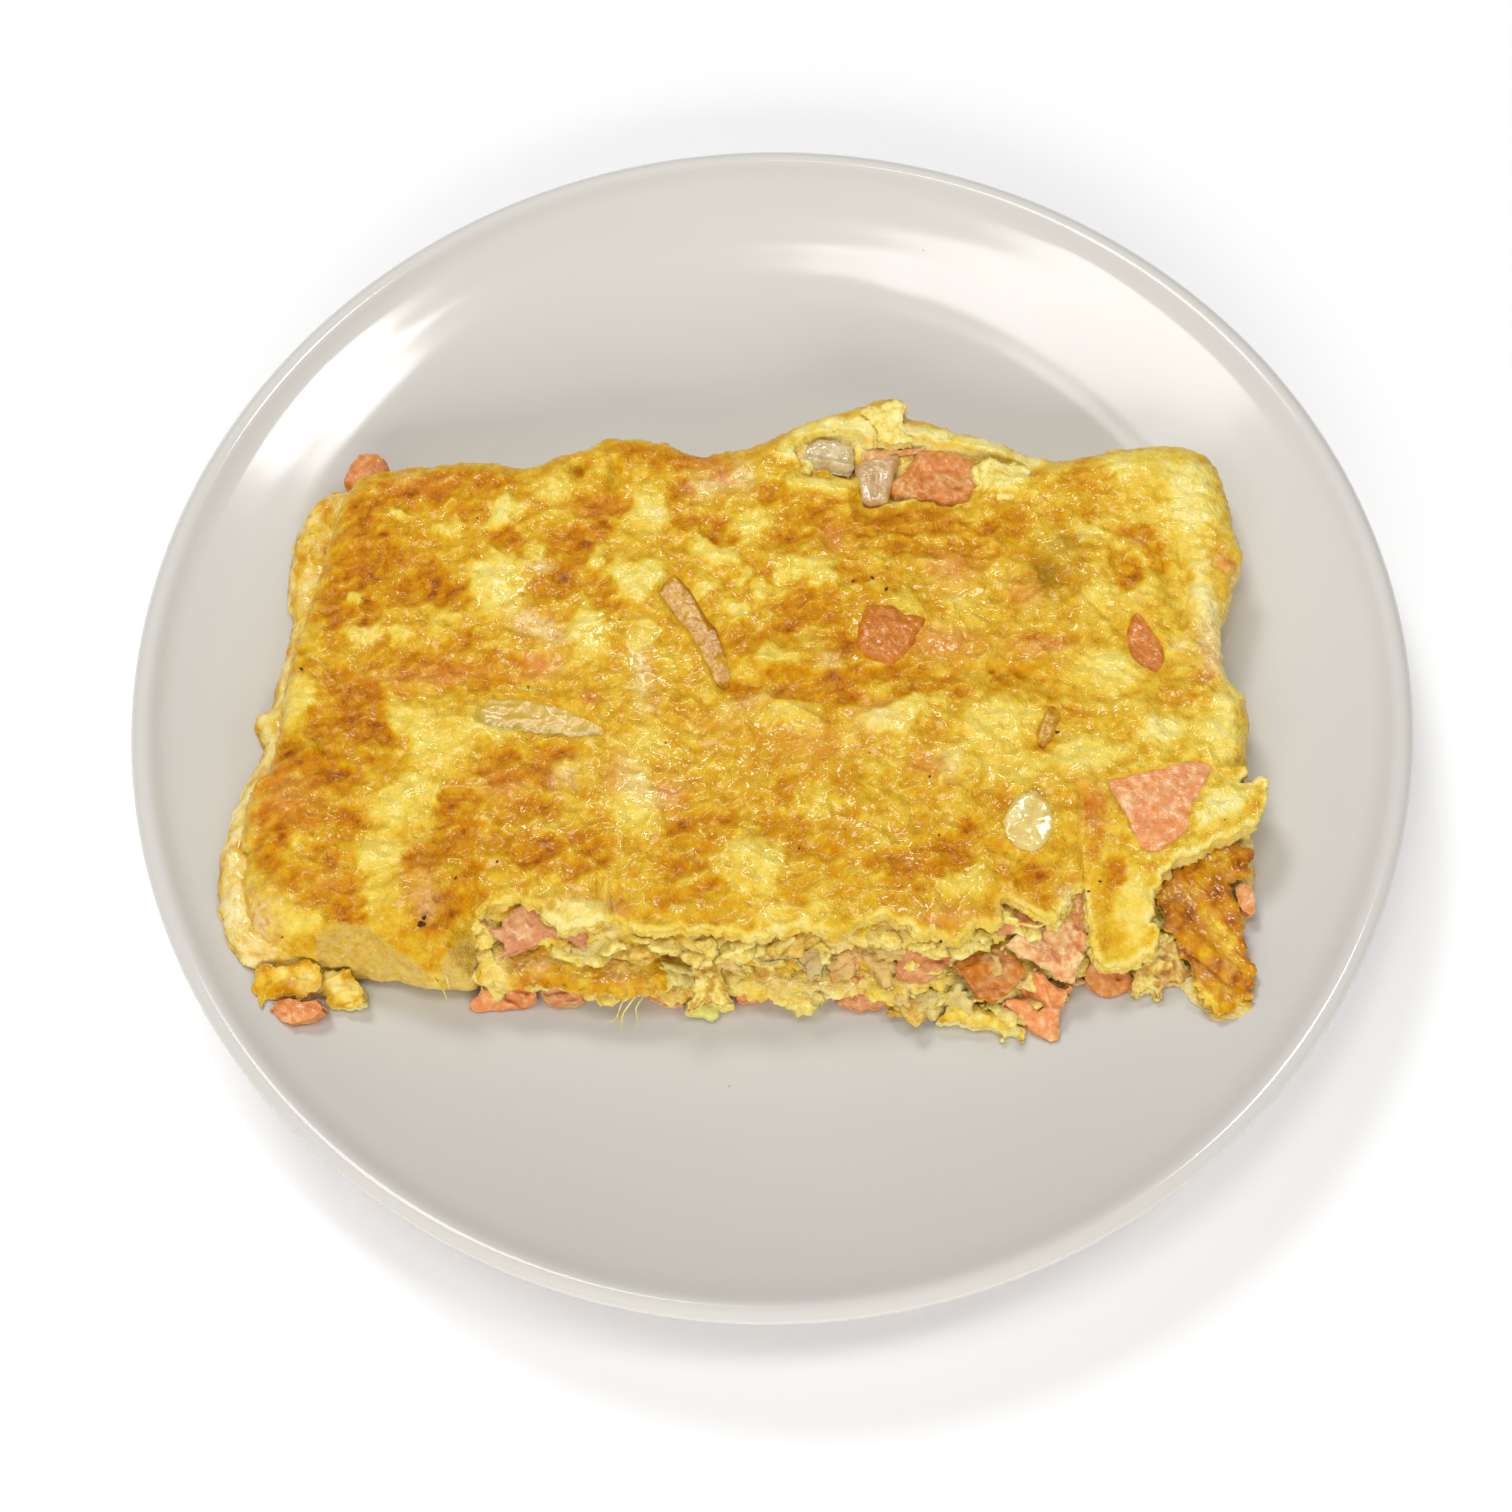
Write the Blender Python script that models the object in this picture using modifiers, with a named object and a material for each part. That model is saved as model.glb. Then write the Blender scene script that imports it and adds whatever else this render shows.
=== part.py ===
"""A folded omelette with smoked salmon and onion, on its round white plate.

The plate is a turned bowl shape.  The omelette is one folded egg sheet, open along its
front and torn at its back, with three layers inside and pieces of salmon and onion that
lie in pockets of their own.  Sizes below are in millimetres; the meshes are in metres.
The origin is under the plate's centre, +X is to the right of the open front, +Z is up.
"""

import math

import bmesh
import bpy
import numpy as np
from mathutils import Vector, noise
from mathutils.geometry import delaunay_2d_cdt

MM = 0.001
GAP = 0.4  # what two touching pieces keep between them

# Plate
PLATE_R = 130.0
LIP_R = 124.5  # where the bowl's slope ends and the rounded lip starts
LIP_Z = 20.5
PLATE_H = 22.4
LIP_W = 3.2
LIP_ROUND = 1.8
WELL_R = 62.0  # the flat middle
WELL_Z = 6.0
RISE_POWER = 2.3
FOOT_R = 75.0
FOOT_W = 5.0
FOOT_H = 2.0  # how far the middle of the underside stands off the table
WALL = 4.3
PLATE_STEPS = 64

# Egg sheet
TOP_Z = 25.0  # top of the folded omelette over the middle of the plate
TOP_FOLLOW = 0.22  # how much of the plate's rise the top shows
LEAF = 4.0  # thickness of the sheet where it lies on top
BASE = 3.2  # thickness of the sheet on the plate
FOLD_R = 7.0  # rounding of the folded sides
TORN_R = 3.0  # rounding of the torn front edge

# Outlines are read anticlockwise from above, in millimetres.
LEAF_LEFT = [
    (-80.8, 45.4), (-86.5, 43.5), (-89.5, 39.0), (-91.8, 30.0), (-94.6, 14.6), (-97.0, 5.5),
    (-98.6, -6.0), (-98.6, -14.0), (-99.7, -23.0), (-103.0, -29.0), (-103.8, -43.0),
    (-102.8, -53.0), (-99.0, -58.5),
]
LEAF_ROLL = [(-91.0, -61.5), (-83.0, -63.0), (-74.0, -64.0), (-64.0, -65.5), (-59.0, -65.0)]
LEAF_TORN = [
    (-58.5, -58.0), (-55.6, -54.5), (-50.5, -52.1), (-44.4, -54.1), (-42.4, -57.1),
    (-38.4, -58.6), (-30.3, -57.1), (-25.3, -59.2), (-17.2, -59.2), (-8.1, -60.2),
    (-3.0, -61.2), (5.1, -59.7), (12.1, -60.7), (18.0, -58.0), (22.2, -58.6), (27.0, -61.0),
    (33.3, -62.5), (38.0, -60.0), (42.4, -59.7), (44.0, -55.2), (52.0, -59.0), (58.5, -52.5),
]
LEAF_STRAP = [(59.8, -58.0), (60.4, -65.0), (66.0, -67.2), (72.5, -63.5), (71.7, -58.1)]
LEAF_FLAP = [
    (72.7, -54.1), (74.8, -50.1), (77.8, -48.0), (81.8, -47.0), (86.0, -45.0), (91.5, -42.6),
    (94.6, -39.3), (95.8, -32.5),
]
LEAF_RIGHT = [
    (91.0, -33.0), (93.6, -29.0), (94.2, -24.0), (95.6, -18.9), (95.4, -13.8), (92.5, -8.5),
    (93.0, 2.4), (94.6, 6.5), (96.6, 12.6), (99.3, 18.0), (98.4, 23.0), (97.6, 33.0),
    (96.4, 39.5), (92.5, 43.5),
]
LEAF_BACK = [
    (85.9, 44.9), (75.8, 44.7), (65.7, 43.1), (58.6, 43.9), (50.5, 48.4), (40.4, 52.0),
    (36.4, 54.0), (31.5, 54.5), (31.0, 59.0), (26.3, 59.5), (20.2, 57.4), (10.1, 54.5),
    (5.1, 52.0), (0.0, 49.6), (-5.1, 48.4), (-14.1, 47.2), (-20.2, 50.3), (-30.3, 52.0),
    (-34.0, 51.6), (-38.4, 48.9), (-44.4, 47.7), (-50.5, 45.2), (-62.6, 47.1), (-70.7, 46.2),
]
LEAF_OUTLINE = (
    LEAF_LEFT + LEAF_ROLL + LEAF_TORN + LEAF_STRAP + LEAF_FLAP + LEAF_RIGHT + LEAF_BACK
)
BASE_OUTLINE = [
    (-82.0, 46.5), (-94.0, 44.5), (-98.4, 40.5), (-101.3, 30.3), (-101.6, 22.0), (-100.4, 13.0),
    (-102.0, 1.0), (-102.6, -5.5), (-106.0, -9.5), (-103.6, -14.6), (-104.9, -21.0),
    (-106.8, -26.5), (-108.6, -38.0), (-108.2, -46.0), (-106.8, -53.0), (-103.4, -59.5),
    (-98.0, -62.5), (-85.0, -62.5), (-72.0, -62.0), (-60.0, -63.5), (-45.0, -64.5),
    (-25.0, -65.0), (0.0, -65.5), (22.0, -66.5), (40.0, -66.0), (58.0, -65.0), (70.0, -66.5),
    (78.5, -70.5), (83.5, -76.3), (90.3, -74.8), (90.0, -68.0), (87.5, -62.0), (91.5, -56.0),
    (94.0, -46.0), (94.6, -30.0), (94.0, -5.0), (96.5, 12.0), (98.5, 25.0), (96.8, 39.5),
    (92.0, 44.5), (70.0, 43.0), (50.0, 47.0), (30.0, 52.5), (10.0, 53.0), (-10.0, 48.0),
    (-30.0, 49.0), (-50.0, 45.5),
]
# The space that the fold encloses, from the open front's left end round the back to its right.
INSIDE = [
    (76.0, -47.0), (82.0, -38.0), (85.0, -20.0), (84.5, 0.0), (86.0, 20.0), (82.0, 33.0),
    (60.0, 36.0), (40.0, 40.0), (20.0, 43.0), (0.0, 39.5), (-30.0, 39.5), (-60.0, 37.5),
    (-78.0, 34.0), (-84.0, 12.0), (-87.0, -15.0), (-88.0, -42.0), (-80.0, -52.0), (-57.5, -56.0),
]
FRONT_OUT = -86.0  # the inside runs out through the open front as far as this
UPPER_FRONT = [
    (-54.0, -55.5), (-46.0, -58.5), (-38.0, -60.2), (-30.0, -59.8), (-25.0, -62.0), (-19.0, -60.8),
    (-15.0, -63.0), (-8.0, -62.0), (-3.0, -61.5), (4.0, -60.5), (11.0, -62.5), (17.0, -60.3),
    (24.0, -62.0), (32.0, -62.8), (40.0, -60.5), (50.0, -58.5), (58.0, -55.0), (68.0, -50.0),
]
INNER_FRONT = [
    (-56.5, -64.5), (-52.0, -66.4), (-45.0, -66.4), (-37.0, -67.6), (-29.0, -68.4), (-22.0, -66.8),
    (-17.5, -64.8), (-10.0, -63.8), (-3.0, -63.0), (4.0, -64.6), (12.0, -63.0), (20.0, -64.6),
    (30.0, -63.6), (40.0, -65.5), (48.0, -63.5), (57.0, -61.0), (68.0, -56.0),
]
LOWER_FRONT = [
    (-56.5, -62.0), (-48.0, -66.0), (-41.0, -65.2), (-34.0, -69.0), (-27.0, -67.5), (-20.0, -69.6),
    (-12.0, -68.0), (-4.0, -69.2), (4.0, -70.8), (11.0, -69.0), (22.0, -70.2), (30.0, -68.6),
    (40.0, -70.4), (52.0, -68.0), (60.0, -66.5), (68.0, -62.0),
]
TEAR = [
    (8.5, 49.8), (7.5, 44.2), (13.5, 41.0), (19.8, 40.6), (20.2, 34.6), (24.0, 33.6),
    (34.5, 35.8), (45.0, 37.8), (56.0, 39.8), (56.5, 41.8), (49.5, 44.6), (40.0, 48.6),
    (33.0, 50.6), (28.5, 55.0), (23.0, 54.4), (15.0, 52.6),
]
TEAR_FLOOR = 15.0
SKIN_HOLES = [((-38.6, 43.0), 2.2), ((-31.2, 42.2), 1.8)]  # torn bubbles near the back edge

# Pieces that lie in the top of the sheet: outline and how far they stand proud of it.
PIECE_BED = 2.3  # how deep such a piece sits in the sheet
ON_TOP = {
    "lox_top_cube": (
        [(18.5, -1.0), (20.0, -3.8), (24.0, -5.6), (27.0, -4.2), (29.5, 0.0), (32.0, 4.0),
         (28.0, 4.6), (26.0, 6.6), (21.0, 7.0), (19.2, 3.0)], 2.2),
    "lox_top_diamond": (
        [(72.6, -2.0), (73.6, -6.2), (77.6, -8.8), (79.6, -6.2), (79.6, -3.0), (75.6, 4.6),
         (73.4, 2.0)], 0.5),
    "lox_top_big": (
        [(65.5, -34.0), (67.5, -38.5), (71.5, -46.8), (78.6, -43.4), (80.8, -38.2),
         (85.6, -31.0), (83.4, -28.4), (75.4, -30.0), (66.5, -31.8)], 0.5),
    "onion_glossy": (
        [(44.5, -40.0), (46.0, -44.5), (50.0, -46.0), (53.5, -42.5), (53.6, -37.5), (50.5, -34.4),
         (47.0, -35.5)], 0.7),
    "onion_strip": (
        [(-58.5, -12.6), (-57.5, -15.8), (-46.0, -18.4), (-34.6, -19.2), (-33.4, -16.8),
         (-44.0, -11.4), (-55.0, -9.6)], 0.4),
    "onion_fried": (
        [(-22.0, 12.4), (-15.5, 2.5), (-10.6, -8.6), (-8.0, -9.2), (-7.4, -6.0), (-10.4, 4.6),
         (-13.6, 10.2), (-18.6, 16.8)], 1.0),
    "onion_sliver": (
        [(52.6, -21.6), (53.6, -24.2), (55.4, -22.4), (57.4, -17.6), (56.2, -15.6), (54.6, -17.8)],
        0.6),
}

# Pieces in the open front and the back tear: outline, underside, top, and slope along Y.
ON_PLATE = None  # an underside that follows the plate
STACKED = {
    "lox_back_left": ([(21.4, 43.6), (28.6, 43.9), (33.4, 44.6), (32.6, 48.8), (27.0, 51.6),
                       (21.6, 50.2)], 16.5, 21.8, -0.10),
    "onion_back_left": ([(8.9, 46.8), (10.6, 43.6), (19.6, 42.2), (20.6, 49.8), (16.0, 51.8),
                         (11.6, 50.6)], 15.8, 21.4, 0.06),
    "onion_back_right": ([(21.0, 35.6), (24.2, 34.6), (26.6, 36.6), (28.2, 43.2), (21.2, 43.0)],
                         16.5, 22.6, 0.04),
    "lox_back_right": ([(31.0, 38.4), (34.6, 36.4), (44.2, 38.6), (45.6, 42.4), (40.6, 46.4),
                        (34.2, 44.2), (28.9, 42.9), (28.0, 39.4)], 16.5, 23.0, -0.05),
    "lox_corner_back": ([(-90.5, 40.5), (-83.0, 40.0), (-81.6, 46.8), (-84.0, 50.2),
                         (-88.4, 49.0)], 14.6, 21.4, -0.10),
    "lox_front_mauve": ([(-56.6, -54.4), (-51.6, -49.0), (-38.0, -50.0), (-30.4, -58.0),
                         (-34.7, -60.8), (-45.9, -61.8), (-53.6, -60.4)], 17.2, 20.8, 0.02),
    "lox_front_strip": ([(30.4, -57.4), (41.0, -52.0), (52.4, -50.6), (52.6, -57.6),
                         (45.0, -61.6), (33.4, -64.0)], 17.4, 20.8, 0.03),
    "lox_film_right": ([(46.2, -61.6), (53.2, -59.0), (59.0, -55.4), (59.2, -64.0),
                        (57.0, -69.8), (51.0, -67.6), (48.0, -66.6)], 16.2, 19.6, 0.22),
    "lox_front_big": ([(22.4, -65.0), (22.8, -60.0), (29.1, -57.4), (33.0, -64.4),
                       (34.6, -66.4), (25.0, -68.4)], 13.4, 18.8, 0.12),
    "lox_film_brown": ([(34.4, -68.6), (35.0, -65.0), (44.6, -62.6), (47.6, -67.2),
                        (44.0, -70.8), (38.0, -71.6)], 12.6, 16.8, 0.24),
    "lox_front_fan": ([(44.4, -71.8), (48.4, -68.0), (54.6, -70.8), (54.8, -76.0),
                       (52.6, -81.0), (46.6, -76.6)], 9.4, 15.2, 0.20),
    "lox_front_1": ([(-60.3, -68.6), (-58.4, -63.0), (-47.0, -62.4), (-46.6, -68.6),
                     (-50.0, -70.9)], ON_PLATE, 13.0, 0.06),
    "lox_front_2": ([(-46.0, -62.6), (-38.0, -62.6), (-37.6, -69.0), (-42.0, -70.6),
                     (-46.0, -69.2)], ON_PLATE, 12.6, 0.06),
    "lox_front_3": ([(-27.0, -64.0), (-18.4, -63.4), (-18.0, -70.6), (-22.0, -71.2),
                     (-27.0, -69.6)], ON_PLATE, 12.4, 0.06),
    "lox_front_4": ([(-8.2, -63.0), (0.6, -62.6), (1.4, -68.6), (-3.6, -70.6), (-8.0, -70.2)],
                    ON_PLATE, 12.6, 0.06),
    "lox_front_5": ([(11.0, -66.0), (21.0, -66.4), (21.2, -71.2), (17.4, -73.6), (11.4, -72.0)],
                    ON_PLATE, 11.8, 0.06),
    "lox_front_gold": ([(10.6, -60.4), (17.6, -58.6), (19.0, -63.6), (15.6, -67.2),
                        (10.8, -66.2)], 13.0, 17.2, 0.20),
    "lox_front_6": ([(58.0, -65.4), (64.6, -61.0), (67.6, -62.6), (67.8, -69.6), (62.8, -71.8),
                     (58.4, -70.0)], ON_PLATE, 14.2, 0.14),
    "lox_left": ([(-86.6, -69.2), (-88.6, -67.0), (-97.0, -67.4), (-98.0, -71.2), (-93.4, -74.4),
                  (-88.2, -73.2)], ON_PLATE, 20.6, 0.05),
    "lox_right": ([(88.4, -50.6), (94.3, -49.4), (94.6, -55.0), (92.0, -58.6), (88.6, -57.4)],
                  16.6, 19.4, 0.05),
    "egg_front_torn": ([(31.2, -74.2), (33.4, -67.4), (44.0, -67.0), (46.4, -76.6),
                        (46.0, -80.0), (38.6, -78.6)], ON_PLATE, 11.6, 0.10),
    "curd_front_left": ([(-17.6, -60.0), (-9.0, -60.0), (-8.6, -67.6), (-10.8, -73.4),
                         (-16.0, -72.8), (-17.6, -67.6)], ON_PLATE, 16.2, 0.34),
    "curd_front_grey": ([(-3.4, -57.0), (8.0, -57.0), (9.6, -62.0), (6.2, -66.4), (-1.2, -66.2),
                         (-4.6, -61.6)], 13.0, 19.4, 0.22),
    "curd_front_low": ([(2.0, -62.0), (10.0, -62.4), (10.4, -70.6), (5.6, -72.4), (2.2, -70.0)],
                       ON_PLATE, 12.2, 0.10),
    "curd_front_right": ([(68.6, -61.0), (78.6, -61.6), (78.8, -68.6), (73.4, -70.8),
                          (68.6, -68.8)], ON_PLATE, 15.4, 0.12),
    "egg_curl_left": ([(-101.0, -62.6), (-87.8, -63.0), (-87.4, -66.6), (-97.2, -67.0),
                       (-99.6, -69.6), (-101.6, -67.6)], ON_PLATE, 21.0, 0.05),
    "egg_curl_right": ([(-87.0, -63.4), (-80.4, -62.8), (-77.6, -66.0), (-78.2, -69.4),
                        (-82.4, -71.2), (-86.2, -69.0)], ON_PLATE, 18.0, 0.10),
    "egg_flap_brown": ([(74.2, -51.0), (76.0, -44.4), (84.0, -41.0), (92.8, -43.2),
                        (93.9, -47.1), (91.6, -49.2), (87.8, -50.2), (87.8, -58.2),
                        (89.8, -61.4), (87.9, -64.4), (89.8, -68.5), (88.8, -71.6),
                        (85.4, -71.0), (79.4, -65.4), (74.6, -58.6)], 16.9, 20.4, 0.06),
}

COLOURS = {  # sRGB colour, roughness
    "plate_glaze": ((222, 219, 214), 0.12),
    "browned_egg": ((226, 178, 78), 0.45),
    "soft_egg": ((236, 214, 132), 0.50),
    "golden_egg": ((214, 150, 48), 0.50),
    "salmon": ((230, 150, 112), 0.42),
    "onion": ((222, 210, 176), 0.25),
}


# ---------------------------------------------------------------- shapes in the plane


def smooth_outline(points, step, sharp=False):
    """The closed outline as points about one step apart, on a curve through the given ones."""
    points = np.array(points, float)
    found = []
    for i in range(len(points)):
        before, start, end, after = (points[(i + k) % len(points)] for k in (-1, 0, 1, 2))
        cuts = max(1, round(np.linalg.norm(end - start) / step))
        for t in np.arange(cuts) / cuts:
            if sharp:
                found.append(start + (end - start) * t)
            else:
                found.append(0.5 * (2 * start + (end - before) * t
                                    + (2 * before - 5 * start + 4 * end - after) * t**2
                                    + (3 * start - before - 3 * end + after) * t**3))
    return np.array(found)


def edge_distance(x, y, outline):
    """How far each point is from the outline."""
    points = np.stack([x, y], axis=-1)[..., None, :]
    start = np.asarray(outline, float)
    along = np.roll(start, -1, axis=0) - start
    share = ((points - start) * along).sum(-1) / (along**2).sum(-1)
    nearest = start + np.clip(share, 0, 1)[..., None] * along
    return np.linalg.norm(points - nearest, axis=-1).min(-1)


def is_inside(x, y, outline):
    """Whether each point lies within the outline, by counting the edges to its right."""
    start = np.asarray(outline, float)
    end = np.roll(start, -1, axis=0)
    x, y = x[..., None], y[..., None]
    spans = (start[:, 1] > y) != (end[:, 1] > y)
    rise = np.where(end[:, 1] == start[:, 1], 1.0, end[:, 1] - start[:, 1])
    crossing = start[:, 0] + (y - start[:, 1]) * (end[:, 0] - start[:, 0]) / rise
    return (spans & (x < crossing)).sum(-1) % 2 == 1


def inset(points, amount):
    """An open run of anticlockwise points moved towards the inside of the shape."""
    points = np.array(points, float)
    along = np.gradient(points, axis=0)
    inward = np.stack([-along[:, 1], along[:, 0]], axis=1)
    return [tuple(p) for p in points + amount * inward / np.linalg.norm(inward, axis=1)[:, None]]


def net(outline, pitch):
    """Points over the outline's inside, in staggered rows, joined by Delaunay triangles."""
    low, high = outline.min(axis=0), outline.max(axis=0)
    rows = np.arange(low[1], high[1], pitch * math.sqrt(0.75))
    grid = [(x + pitch / 2 * (i % 2), y)
            for i, y in enumerate(rows) for x in np.arange(low[0], high[0], pitch)]
    grid = np.array(grid)
    keep = is_inside(*grid.T, outline) & (edge_distance(*grid.T, outline) > 0.6 * pitch)
    points = [Vector(p) for p in np.concatenate([outline, grid[keep]])]
    border = list(range(len(outline)))
    points, _, faces, *_ = delaunay_2d_cdt(points, [], [border], 1, 1e-5)
    return np.array([tuple(p) for p in points]), faces


# ---------------------------------------------------------------- heights


def plate_top(x, y):
    rise = np.clip((np.hypot(x, y) - WELL_R) / (LIP_R - WELL_R), 0, None)
    return WELL_Z + (LIP_Z - WELL_Z) * rise**RISE_POWER


def base_top(x, y):
    return plate_top(x, y) + GAP + BASE


def ripple(x, y, size, seed):
    """Smooth unevenness between -1 and 1, with features about as wide as size."""
    wave = [noise.noise(Vector((a / size, b / size, seed))) for a, b in zip(x, y)]
    return np.array(wave)


def bump(x, y, centre, radii, turn=0.0):
    """A round hill of height 1 with the given half widths, turned by degrees."""
    c, s = math.cos(math.radians(turn)), math.sin(math.radians(turn))
    dx, dy = x - centre[0], y - centre[1]
    along, across = (dx * c + dy * s) / radii[0], (dy * c - dx * s) / radii[1]
    return np.exp(-(along**2 + across**2))


def leaf_level(x, y):
    """The top of the folded sheet, without its fine relief and its rounded sides."""
    level = TOP_Z + TOP_FOLLOW * (plate_top(x, y) - WELL_Z)
    strap = np.clip((-50.0 - y) / 17.0, 0, 1) ** 1.4 * bump(x, y * 0, (67.0, 0.0), (10.0, 1.0))
    return level + 0.9 * ripple(x, y, 34.0, 3.0) - 8.0 * strap


def leaf_top(x, y, depth):
    """The browned top: hills over the pieces inside, a seam across, and rounded sides."""
    hills = (
        1.4 * bump(x, y, (66.0, -36.0), (16.0, 12.0)) + 1.2 * bump(x, y, (24.0, 1.0), (14.0, 10.0))
        + 1.1 * bump(x, y, (33.0, -28.0), (7.0, 7.0)) + 1.2 * bump(x, y, (49.0, -40.0), (9.0, 9.0))
        + 1.0 * bump(x, y, (4.0, -4.0), (16.0, 4.0), -20) + 1.3 * bump(x, y, (-92.0, -34.0), (9, 12))
        + 0.9 * bump(x, y, (-52.0, -27.0), (9.0, 7.0)) + 1.0 * bump(x, y, (-67.0, -50.0), (7, 9))
        + 1.4 * bump(x, y, (78.0, 36.0), (14.0, 7.0)) + 1.2 * bump(x, y, (28.0, 55.0), (7.0, 6.0))
        + 1.0 * bump(x, y, (-30.0, 47.0), (10.0, 6.0)) - 1.1 * bump(x, y, (84.0, 10.0), (2.5, 10.0))
        - 1.0 * bump(x, y, (-44.0, -5.0), (22.0, 4.0), 4) - 1.0 * bump(x, y, (50.0, -9.0), (14, 3), -14)
    )
    torn = is_torn(x, y)
    radius = np.where(torn, TORN_R, FOLD_R)
    fall = np.where(torn, 1.6, 5.0)
    side = np.clip(1 - depth / radius, 0, 1)
    round_off = fall * (1 - np.sqrt(1 - side**2))
    roll = 3.4 * np.clip(1 - depth / 11.0, 0, 1) ** 2 * is_rolled(x, y)
    return leaf_level(x, y) + hills + 0.5 * ripple(x, y, 11.0, 8.0) - round_off - roll


def is_torn(x, y):
    """Where the sheet ends in a torn edge: along the open front and over the brown flap."""
    return ((y < -46) & (x > -57.0) & (x < 73.0)) | ((x >= 73.0) & (y < -30.0))


def is_rolled(x, y):
    """Where the sheet rolls down to the plate, left of the open front."""
    return (y < -40) & (x <= -57.0)


def ceiling(x, y):
    return leaf_level(x, y) - LEAF


def wavy(base, height, size, seed):
    """A level with unevenness of the given height on it."""
    return lambda x, y, depth: base(x, y) + height * ripple(x, y, size, seed)


def share_of_inside(low_share, gaps):
    """A level between the sheet's two leaves: a share of the food plus some of its gaps."""

    def level(x, y):
        low = base_top(x, y)
        food = ceiling(x, y) - low - 4 * GAP
        return low + low_share * food + gaps * GAP

    return level


# ---------------------------------------------------------------- solids


def scene_collection(name):
    found = bpy.data.collections.new(name)
    bpy.context.scene.collection.children.link(found)
    return found


def material(name):
    (red, green, blue), roughness = COLOURS[name]
    found = bpy.data.materials.get(name)
    if not found:
        found = bpy.data.materials.new(name)
        found.use_nodes = True
        shader = found.node_tree.nodes["Principled BSDF"]
        linear = [(c / 255 / 12.92) if c <= 10 else ((c / 255 + 0.055) / 1.055) ** 2.4
                  for c in (red, green, blue)]
        shader.inputs["Base Color"].default_value = (*linear, 1.0)
        shader.inputs["Roughness"].default_value = roughness
        shader.inputs["Metallic"].default_value = 0.0
    return found


def object_from(bm, name, collection, slot):
    """A mesh object in metres from a bmesh in millimetres, with its faces turned out."""
    bmesh.ops.recalc_face_normals(bm, faces=bm.faces)
    bmesh.ops.scale(bm, vec=(MM, MM, MM), verts=bm.verts)
    mesh = bpy.data.meshes.new(name)
    bm.to_mesh(mesh)
    bm.free()
    mesh.materials.append(material(slot))
    obj = bpy.data.objects.new(name, mesh)
    collection.objects.link(obj)
    return obj


def slab(name, outline, top, under, pitch, collection, slot, belly=0.0, step=None, sharp=False):
    """A closed body over an outline, between two surfaces, with sides that may bulge."""
    outline = smooth_outline(outline, step or pitch, sharp)
    points, faces = net(outline, pitch)
    x, y = points.T
    depth = edge_distance(x, y, outline)
    high, low = top(x, y, depth), under(x, y, depth)
    bm = bmesh.new()
    verts = [bm.verts.new((a, b, c)) for a, b, c in zip(x, y, low)]
    for face in faces:
        bm.faces.new([verts[i] for i in face])
    raised = bmesh.ops.extrude_face_region(bm, geom=bm.faces[:])["geom"]
    raised = [v for v in raised if isinstance(v, bmesh.types.BMVert)]
    height_at = {(round(a, 3), round(b, 3)): c for a, b, c in zip(x, y, high)}
    for v in raised:
        v.co.z = height_at[(round(v.co.x, 3), round(v.co.y, 3))]
    if belly:
        bulge_sides(bm, set(raised), belly)
    return object_from(bm, name, collection, slot)


def bulge_sides(bm, raised, belly):
    """A ring of points half way up the sides, pushed out."""
    sides = [e for e in bm.edges if (e.verts[0] in raised) != (e.verts[1] in raised)]
    ring = bmesh.ops.subdivide_edges(bm, edges=sides, cuts=1, use_grid_fill=True)["geom_inner"]
    bmesh.ops.recalc_face_normals(bm, faces=bm.faces)
    bm.normal_update()
    for v in [v for v in ring if isinstance(v, bmesh.types.BMVert)]:
        out = Vector((v.normal.x, v.normal.y, 0.0)).normalized()
        v.co += out * belly


def grown(obj, collection, amount=GAP):
    """A copy with its skin moved out by the gap, to cut a piece's pocket with."""
    bm = bmesh.new()
    bm.from_mesh(obj.data)
    bm.normal_update()
    moved = [(v, v.co + v.normal * amount * MM * min(v.calc_shell_factor(), 1.6)) for v in bm.verts]
    for v, place in moved:
        v.co = place
    mesh = bpy.data.meshes.new("pocket_" + obj.name)
    bm.to_mesh(mesh)
    bm.free()
    cutter = bpy.data.objects.new("pocket_" + obj.name, mesh)
    collection.objects.link(cutter)
    cutter.hide_render = True
    cutter.display_type = "WIRE"
    return cutter


def combine(obj, other, operation):
    """Applies a Boolean with an object or a collection, and drops the loose scraps it leaves."""
    modifier = obj.modifiers.new(operation.title(), "BOOLEAN")
    modifier.operation = operation
    modifier.solver = "EXACT"
    if isinstance(other, bpy.types.Collection):
        modifier.operand_type = "COLLECTION"
        modifier.collection = other
    else:
        modifier.object = other
    evaluated = obj.evaluated_get(bpy.context.evaluated_depsgraph_get())
    mesh = bpy.data.meshes.new_from_object(evaluated)
    obj.modifiers.clear()
    obj.data = mesh
    keep_largest(mesh)


def keep_largest(mesh):
    """Drops every body of the mesh but the one with the largest volume."""
    bm = bmesh.new()
    bm.from_mesh(mesh)
    bmesh.ops.remove_doubles(bm, verts=bm.verts, dist=0.005 * MM)
    bmesh.ops.triangulate(bm, faces=bm.faces)
    left, bodies = set(bm.faces), []
    while left:
        body, edge_of = set(), [next(iter(left))]
        while edge_of:
            face = edge_of.pop()
            if face not in body:
                body.add(face)
                edge_of += [f for e in face.edges if len(e.link_faces) == 2
                            for f in e.link_faces if f not in body]
        left -= body
        bodies.append(body)
    bodies.sort(key=volume_of)
    for body in bodies[:-1]:
        bmesh.ops.delete(bm, geom=list(body), context="FACES")
    bm.to_mesh(mesh)
    bm.free()


def volume_of(faces):
    return sum(f.verts[0].co.dot(f.verts[1].co.cross(f.verts[2].co)) for f in faces)


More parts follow.
